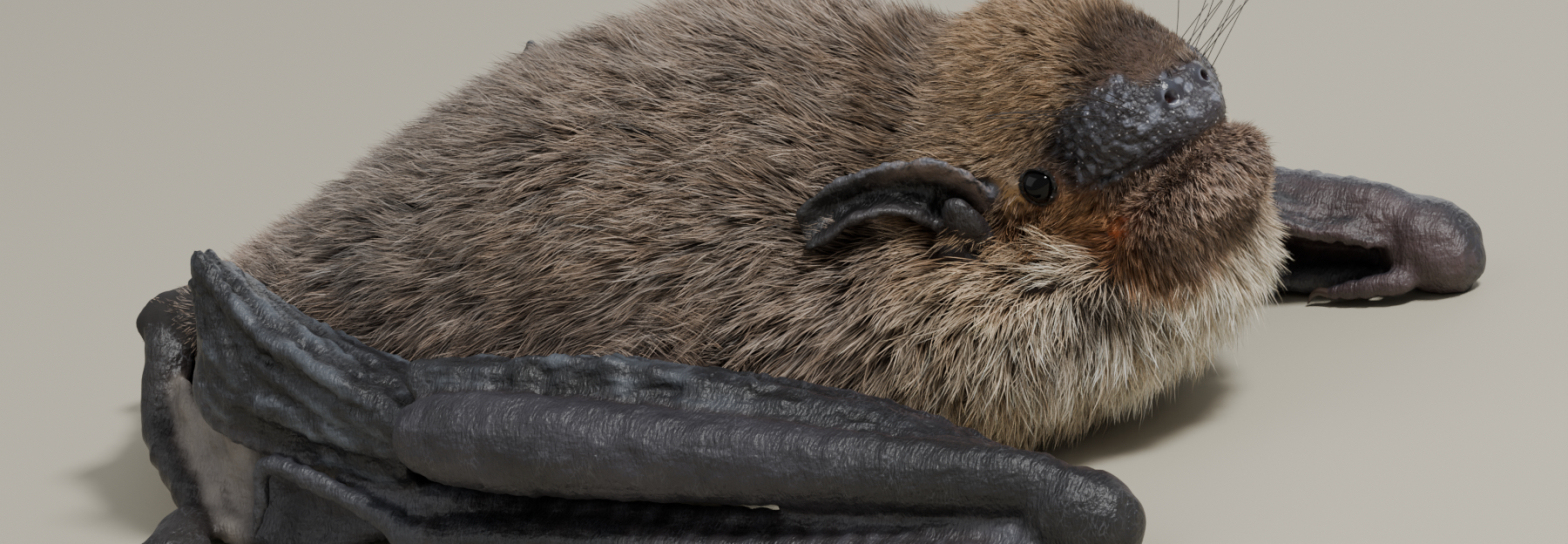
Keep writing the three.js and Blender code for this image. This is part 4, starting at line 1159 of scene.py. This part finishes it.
root = at_root(skin_at)
out = unit(at_root(skin_out))
head_share = at_root(head) / np.maximum(at_root(furred), 1e-6)
on_muzzle = at_root(bare * on_face)
nearest, _ = on_outline(root)
depth = np.clip(size_of(nearest - root), 0.12, 2.6)
head_root = in_head(root)
rx, ry, rz = head_root.T
either_side = np.abs(head_root)
chest = (1 - head_share) * past(root[:, 0], 1.0, 7.0) * short_of(root[:, 2], 6.0, 9.0)
throat = head_share * short_of(rz, -5.6, -4.4) * past(rx, -7, -4)
# the strip under the jaw's edge, where the tufts are shortened and darkened as painted shadow
under_jaw = mound(either_side, (0.6, 3.9, 4.9), (2.6, 1.7, 0.8)) * (rz < 0)
jaw = head_share * (rz < 0) * mound(either_side, (0.4, 3.6, 3.0), (2.4, 1.8, 1.1))
loose = np.clip(chest + throat, 0, 1)

# the lie of the coat: backwards, drooping down the flanks, down the chest, and back over the crown and cheeks
lie = np.tile((-1.0, 0.0, -0.12), (len(root), 1))
lie[:, 2] -= 0.45 * np.abs(out[:, 1])
lie += chest[:, None] * np.array((0.55, 0, -0.75))
head_lie = np.tile((-1.0, 0.0, 0.1), (len(root), 1))
head_lie[:, 2] -= 0.5 * past(np.abs(ry), 2.5, 5.0)
lie += (head_lie @ HEAD_TURNED.T - lie) * head_share[:, None]
sway = 0.35 * ripple(root, 3.5, 21) + 0.35 * ripple(root, 1.3, 22) + 0.3 * ripple(root, 0.5, 23)
lie += np.cross(out, lie) * (sway + dice.normal(0, 0.22, len(root)))[:, None]
lie = unit(lie - (lie * out).sum(1, keepdims=True) * out)
chin = head_share * past(rx, 0.2, 2.4) * short_of(rz, -1.9, -1.3)
lie += chin[:, None] * (1.2 * (np.array((0.25, 0, -1.0)) @ HEAD_TURNED.T) - lie)
lie = unit(lie + (0.5 * chin + 0.4 * loose)[:, None] * dice.normal(0, 0.6, (len(root), 3)))

# how far each tuft reaches along its lie, and its tip, which keeps to the coat's outline
by_lip = head_share * past(rz, -3.1, -2.0) * past(rx, 1.5, 3.0) * (rz < -1.0)
depth *= (1 - 0.65 * by_lip) * (1 - 0.7 * jaw) * (1 - 0.6 * np.clip(under_jaw, 0, 1))
reach = (0.3 + 0.8 * depth) * (1 - 0.3 * loose) * (1 - 0.45 * chin) * (1 - 0.6 * on_muzzle)
reach *= 1 - 0.4 * by_lip
reach *= dice.uniform(0.75, 1.15, len(root))
aim = root + lie * reach[:, None] + out * depth[:, None]
tip, tip_out = on_outline(aim)
tip += tip_out * (depth * dice.uniform(-0.35, 0.08, len(root)))[:, None]
tip += np.maximum(np.maximum(by_lip, jaw), under_jaw)[:, None] * (aim - tip)
low = np.maximum(0.1 - ((tip - root) * out).sum(1), 0) * (reach < 1.2)
tip += out * low[:, None]

# tufts that would cross an eye or run into an ear are left out
_, _, _, off_ear = on_sheets(tip, ears, 0.04)
keep = (size_of(off_ear) > EAR_CLEAR) | (np.abs(ry) < 3.5)
for part in (tip, (root + tip) / 2):
    keep &= size_of(in_half_head(part) - EYE_AT) > EYE_CLEAR

# the coat's markings, each laid over those before it, and painted shadow under the jaw's edge
rear = past(-root[:, 0], 8, 20)
flank = short_of(root[:, 2], 6.5, 9.5) * past(-root[:, 0], 2, 8)
neck_side = (1 - head_share) * past(root[:, 0], 2, 7) * short_of(root[:, 2], 11, 14)
cheek = head_share * short_of(rz, -1.2, 0.2) * short_of(rx, 1.2, 2.6)
cheek *= past(rx, -4.5, -3) * (1 - throat)
crown = head_share * short_of(rx, -4.5, -1.5)
golden = head_share * mound(either_side, (2.0, 5.0, 1.0), (3.6, 3.0, 3.4))
forehead = head_share * past(rx, -3.5, 0.5) * past(rz, 0.5, 2.5)
bridge = head_share * past(rx, 3.0, 4.6) * past(rz, 0.2, 1.4)
before_eye = head_share * mound(either_side, (1.3, 3.5, 0.3), (0.9, 1.2, 1.1))
COATS = [
    # colours at the root, in the middle and at the tip of a tuft, and where on the animal
    ("#241c18", "#524237", "#a99583", np.ones(len(root))),
    ("#322a26", "#60544c", "#978b80", rear),
    ("#3a2f2a", "#6f5e53", "#ad9a8b", flank),
    ("#443226", "#8a6b50", "#d0b08b", neck_side),
    ("#55483c", "#a08b73", "#e4d3b8", loose),
    ("#83735f", "#cfbda4", "#f5ead5", loose * (1 - head_share) * past(root[:, 0], 6, 10)),
    ("#1e1613", "#3d2f27", "#836e5b", crown),
    ("#423022", "#7e6247", "#c3a47c", 0.7 * golden),
    ("#38281e", "#664a34", "#b5946d", 0.8 * forehead),
    ("#251a15", "#36291f", "#5f4d3f", bridge),
    ("#40322c", "#7c675d", "#bba18c", chin),
    ("#2a1f1a", "#4b3930", "#7d6656", 0.8 * before_eye),
    ("#4a3224", "#7d583d", "#b38a63", 0.9 * cheek),
    ("#5e3620", "#8f5836", "#bd875c", 0.8 * jaw),
    # painted shadow under the jaw's edge
    ("#1b1512", "#3a2e28", "#6f5c4f", 0.8 * under_jaw),
    ("#171315", "#201a1c", "#3a3131", on_muzzle),
]
tone = 1 + 0.14 * ripple(root, 2.6, 31) + 0.14 * ripple(root, 0.8, 32) + dice.normal(0, 0.16, len(root))
warmth = dice.normal(0, 0.05, len(root))[:, None] * np.array([1, 0, -1])
hues = []  # of every tuft at its root, in its middle and at its tip
for step in range(3):
    paint = Paint(len(root), COATS[0][step])
    for coat in COATS[1:]:
        paint.lay(coat[step], coat[3])
    hues.append(np.clip(paint.hue * tone[:, None] * (1 + warmth), 0, 1))

# Fine hair: a soft, low sheen along the strands, never glossy.
hair, _ = new_material("soft_brown_hair", "hue", Roughness=0.5, Specular_IOR_Level=0.35)


def put_unwrap(mesh, uv):
    mesh.uv_layers.new(name="OFBake").data.foreach_set("uv", uv.astype(np.float32).ravel())


def coat_piece(name, chosen, strands, lock_width, unwrap):
    """A piece of coat: the chosen tufts, each of so many strands rooted within lock_width of its place."""
    t = np.repeat(chosen, strands)
    count = len(t)
    beside = unit(np.cross(out[t], lie[t]))
    angle, far = dice.uniform(0, 2 * np.pi, count), np.sqrt(dice.random(count))
    wide = np.broadcast_to(lock_width, len(root))[t]
    shift = (np.cos(angle) * far * wide)[:, None] * beside + (np.sin(angle) * far * wide)[:, None] * lie[t]
    start = root[t] + shift - ROOTED * out[t]
    length = dice.uniform(0.72, 1.06, count)[:, None]
    stray = dice.normal(size=(count, 3)) * ((0.06 + 0.1 * loose[t]) * reach[t] + 0.02)[:, None]
    end = start + (tip[t] + LOCK_SPREAD * shift + stray - start) * length
    lift = start + out[t] * (0.72 * depth[t] * length[:, 0])[:, None] + lie[t] * (0.28 * reach[t])[:, None]
    lift += dice.normal(size=(count, 3)) * (0.06 * reach[t])[:, None]
    s = STRAND_STEPS[None, :, None]
    spine = (1 - s) ** 2 * start[:, None] + 2 * s * (1 - s) * lift[:, None] + s**2 * end[:, None]
    along = unit(np.gradient(spine, axis=1))
    roll = dice.normal(0, 0.7, count)[:, None, None]
    flat = unit(np.cross(along, np.broadcast_to(out[t][:, None], along.shape)))
    flat = np.cos(roll) * flat + np.sin(roll) * np.cross(flat, along)
    thick = STRAND_WIDTH * np.clip(0.45 + 0.3 * depth[t], 0.45, 1.0) * dice.uniform(0.7, 1.25, count)
    half = flat * (thick[:, None, None] / 2 * STRAND_TAPER[None, :, None])
    # pairs of corners from the root up, and one at the tip
    pairs = np.stack([(spine - half)[:, :-1], (spine + half)[:, :-1]], 2).reshape(count, -1, 3)
    corners = np.concatenate([pairs, spine[:, -1:]], 1)
    corners[..., 2] = np.maximum(corners[..., 2], OVER_FLOOR)
    per = corners.shape[1]
    pair = np.arange(0, per - 3, 2)
    pattern = np.vstack([np.stack([pair, pair + 1, pair + 3, pair + 2], 1), per + np.array([-3, -2, -1, -1])])
    faces = (np.arange(count)[:, None, None] * per + pattern[None]).reshape(-1, 4)
    mesh = mesh_of(name, corners.reshape(-1, 3), faces)
    rise = np.append(np.repeat(STRAND_STEPS[:-1], 2), 1.0)
    low = np.clip(rise / MID_HUE, 0, 1)[None, :, None]
    high = np.clip((rise - MID_HUE) / (1 - MID_HUE), 0, 1)[None, :, None]
    at_foot, at_middle, at_tip = (hue[t][:, None] for hue in hues)
    hue = at_foot * (1 - low) + at_middle * low
    hue = hue * (1 - high) + at_tip * high
    hue = hue * np.exp(dice.normal(-0.05, 0.32, count))[:, None, None]
    put_colour(mesh, np.clip(hue, 0, 1).reshape(-1, 3))
    order = np.tile(np.arange(strands) / (strands - 1), len(chosen))
    u = unwrap[t, 0][:, None] + (order[:, None] - 0.5) * UNWRAP_PATCH + np.zeros((1, per))
    v = unwrap[t, 1][:, None] + (rise[None] - 0.5) * UNWRAP_PATCH
    put_unwrap(mesh, np.stack([u, v], 2).reshape(-1, 2)[corner_of_loop(mesh)])
    return shown(name, mesh, hair)


def unwrapped(along, around):
    """An unwrap of a stretch of the body: round it across, and along it up, with a margin."""
    low, high = along.min(), along.max()
    return np.stack([0.5 + 0.47 * around / np.pi, 0.03 + 0.94 * (along - low) / (high - low)], 1)


def lay_coat(names, member, along, around, strands, lock_width):
    """Parts the tufts of a region into pieces from the rear forwards, equal in count, and makes each."""
    members = np.flatnonzero(member & keep)
    for name, chosen in zip(names, np.array_split(members[np.argsort(along[members])], len(names))):
        unwrap = np.zeros((len(root), 2))
        unwrap[chosen] = unwrapped(along[chosen], around[chosen])
        coat_piece(name, chosen, strands, lock_width, unwrap)


of_head = head_share > 0.5
body_names = ("coat_rump", "coat_loin", "coat_waist", "coat_back", "coat_shoulder", "coat_chest")
around_body, around_head = np.arctan2(root[:, 1], root[:, 2] - 7.0), np.arctan2(ry, rz)
head_names, head_locks = ("coat_nape", "coat_crown", "coat_face"), 0.09 + 0.13 * np.clip(depth, 0, 1.5)
lay_coat(body_names, ~of_head, root[:, 0], around_body, STRANDS_ON_BODY, 0.36)
lay_coat(head_names, of_head, rx, around_head, STRANDS_ON_HEAD, head_locks)

# ---- Whiskers ----
# Stiff dark hairs in two short rows on each side of the muzzle, curving out and back, rooted in its skin.

WHISKERS = 11  # on each side
WHISKER_THICK = 0.045  # across at the root, about as on the animal
WHISKER_RINGS, WHISKER_SIDES = 12, 5
whiskers = []
for side in SIDES:
    for i in range(WHISKERS):
        start = np.array((2.8 + 0.22 * i, 2.9 - 0.11 * i, 0.9 - 0.12 * i + 0.5 * (i % 2)))
        way = unit(np.array((0.25 + 0.06 * i, 1.0, 0.75 - 0.3 * (i % 2))) + dice.normal(0, 0.12, 3))
        long = dice.uniform(3.2, 5.2)
        line = [start + way * long * q - np.array((0.9, 0, 0.25)) * q * q for q in (-0.05, 0.3, 0.65, 1.0)]
        line = on_head(np.array(line) * (1, side, 1))
        thick = WHISKER_THICK * np.array((0.5, 0.45, 0.3, 0.08))
        whiskers.append(limb([(*p, r) for p, r in zip(line, thick)], WHISKER_RINGS, WHISKER_SIDES))
corners, faces, first = joined(whiskers)
whisker_mesh = mesh_of("whiskers", corners, faces)
corner = corner_of_loop(whisker_mesh)
of_whisker = np.searchsorted(first, corner, "right") - 1
within = corner - first[of_whisker]
row = 0.05 + 0.9 * of_whisker / len(whiskers)
u = row + UNWRAP_PATCH * (within % WHISKER_SIDES) / WHISKER_SIDES
v = 0.985 + UNWRAP_PATCH * within / np.diff(first)[of_whisker]
put_unwrap(whisker_mesh, np.stack([u, v], 1))
stiff_hair, _ = new_material("whisker_hair", "#241c18", Roughness=0.45)
shown("whiskers", whisker_mesh, stiff_hair)

# ---- Floor, light and camera ----
# A plain pale floor under soft studio light: a lamp high in front, weaker broad ones beside and behind, and a
# pale surround. The camera looks at the head and the near forearm from the animal's right and a little above.

floor_material, _ = new_material("plain_floor", "#b4ad99", Roughness=0.9)
bpy.ops.mesh.primitive_plane_add(size=2.0, location=(0, 0, 0))
floor = bpy.context.object
floor.name = "floor"
floor.data.materials.append(floor_material)

VIEW_TARGET = np.array([-3.02, -5.27, 8.0])
VIEW_AZIMUTH, VIEW_ELEVATION, VIEW_ROLL = (math.radians(a) for a in (34, 17, 11.3))
VIEW_DISTANCE = 320
level_share = math.cos(VIEW_ELEVATION)
VIEW_BACK = np.array(
    [math.sin(VIEW_AZIMUTH) * level_share, -math.cos(VIEW_AZIMUTH) * level_share, math.sin(VIEW_ELEVATION)]
)
level = np.array([math.cos(VIEW_AZIMUTH), math.sin(VIEW_AZIMUTH), 0])
upward = np.cross(VIEW_BACK, level)
VIEW_RIGHT = math.cos(VIEW_ROLL) * level - math.sin(VIEW_ROLL) * upward
VIEW_UP = math.sin(VIEW_ROLL) * level + math.cos(VIEW_ROLL) * upward


def lamp(name, direction, distance, size, power):
    """A square soft lamp that looks at the animal from a direction: right, up and back of the view."""
    data = bpy.data.lights.new(name, "AREA")
    data.size, data.energy = size * MM, power
    obj = bpy.data.objects.new(name, data)
    right, up, back = direction
    way = Vector(right * VIEW_RIGHT + up * VIEW_UP + back * VIEW_BACK).normalized()
    obj.location = (Vector(VIEW_TARGET) + way * distance) * MM
    obj.rotation_euler = way.to_track_quat("Z", "Y").to_euler()
    bpy.context.scene.collection.objects.link(obj)


lamp("key_lamp", (0.35, 0.9, 0.75), 260, 45, 0.85)
lamp("fill_lamp", (-0.9, 0.5, 0.6), 300, 260, 0.25)
lamp("rim_lamp", (0.3, 0.8, -0.9), 300, 200, 0.25)
world = bpy.data.worlds.new("studio")
world.use_nodes = True
surround = world.node_tree.nodes["Background"].inputs
surround["Color"].default_value = (0.86, 0.88, 0.92, 1)
surround["Strength"].default_value = 0.42
bpy.context.scene.world = world

camera = bpy.data.objects.new("camera", bpy.data.cameras.new("camera"))
camera.data.lens, camera.data.sensor_width = 192, 36
camera.data.clip_start, camera.data.clip_end = 0.01, 10
turn = Matrix((VIEW_RIGHT, VIEW_UP, VIEW_BACK)).transposed().to_4x4()
camera.matrix_world = Matrix.Translation(Vector((VIEW_TARGET + VIEW_BACK * VIEW_DISTANCE) * MM)) @ turn
bpy.context.scene.collection.objects.link(camera)
bpy.context.scene.camera = camera
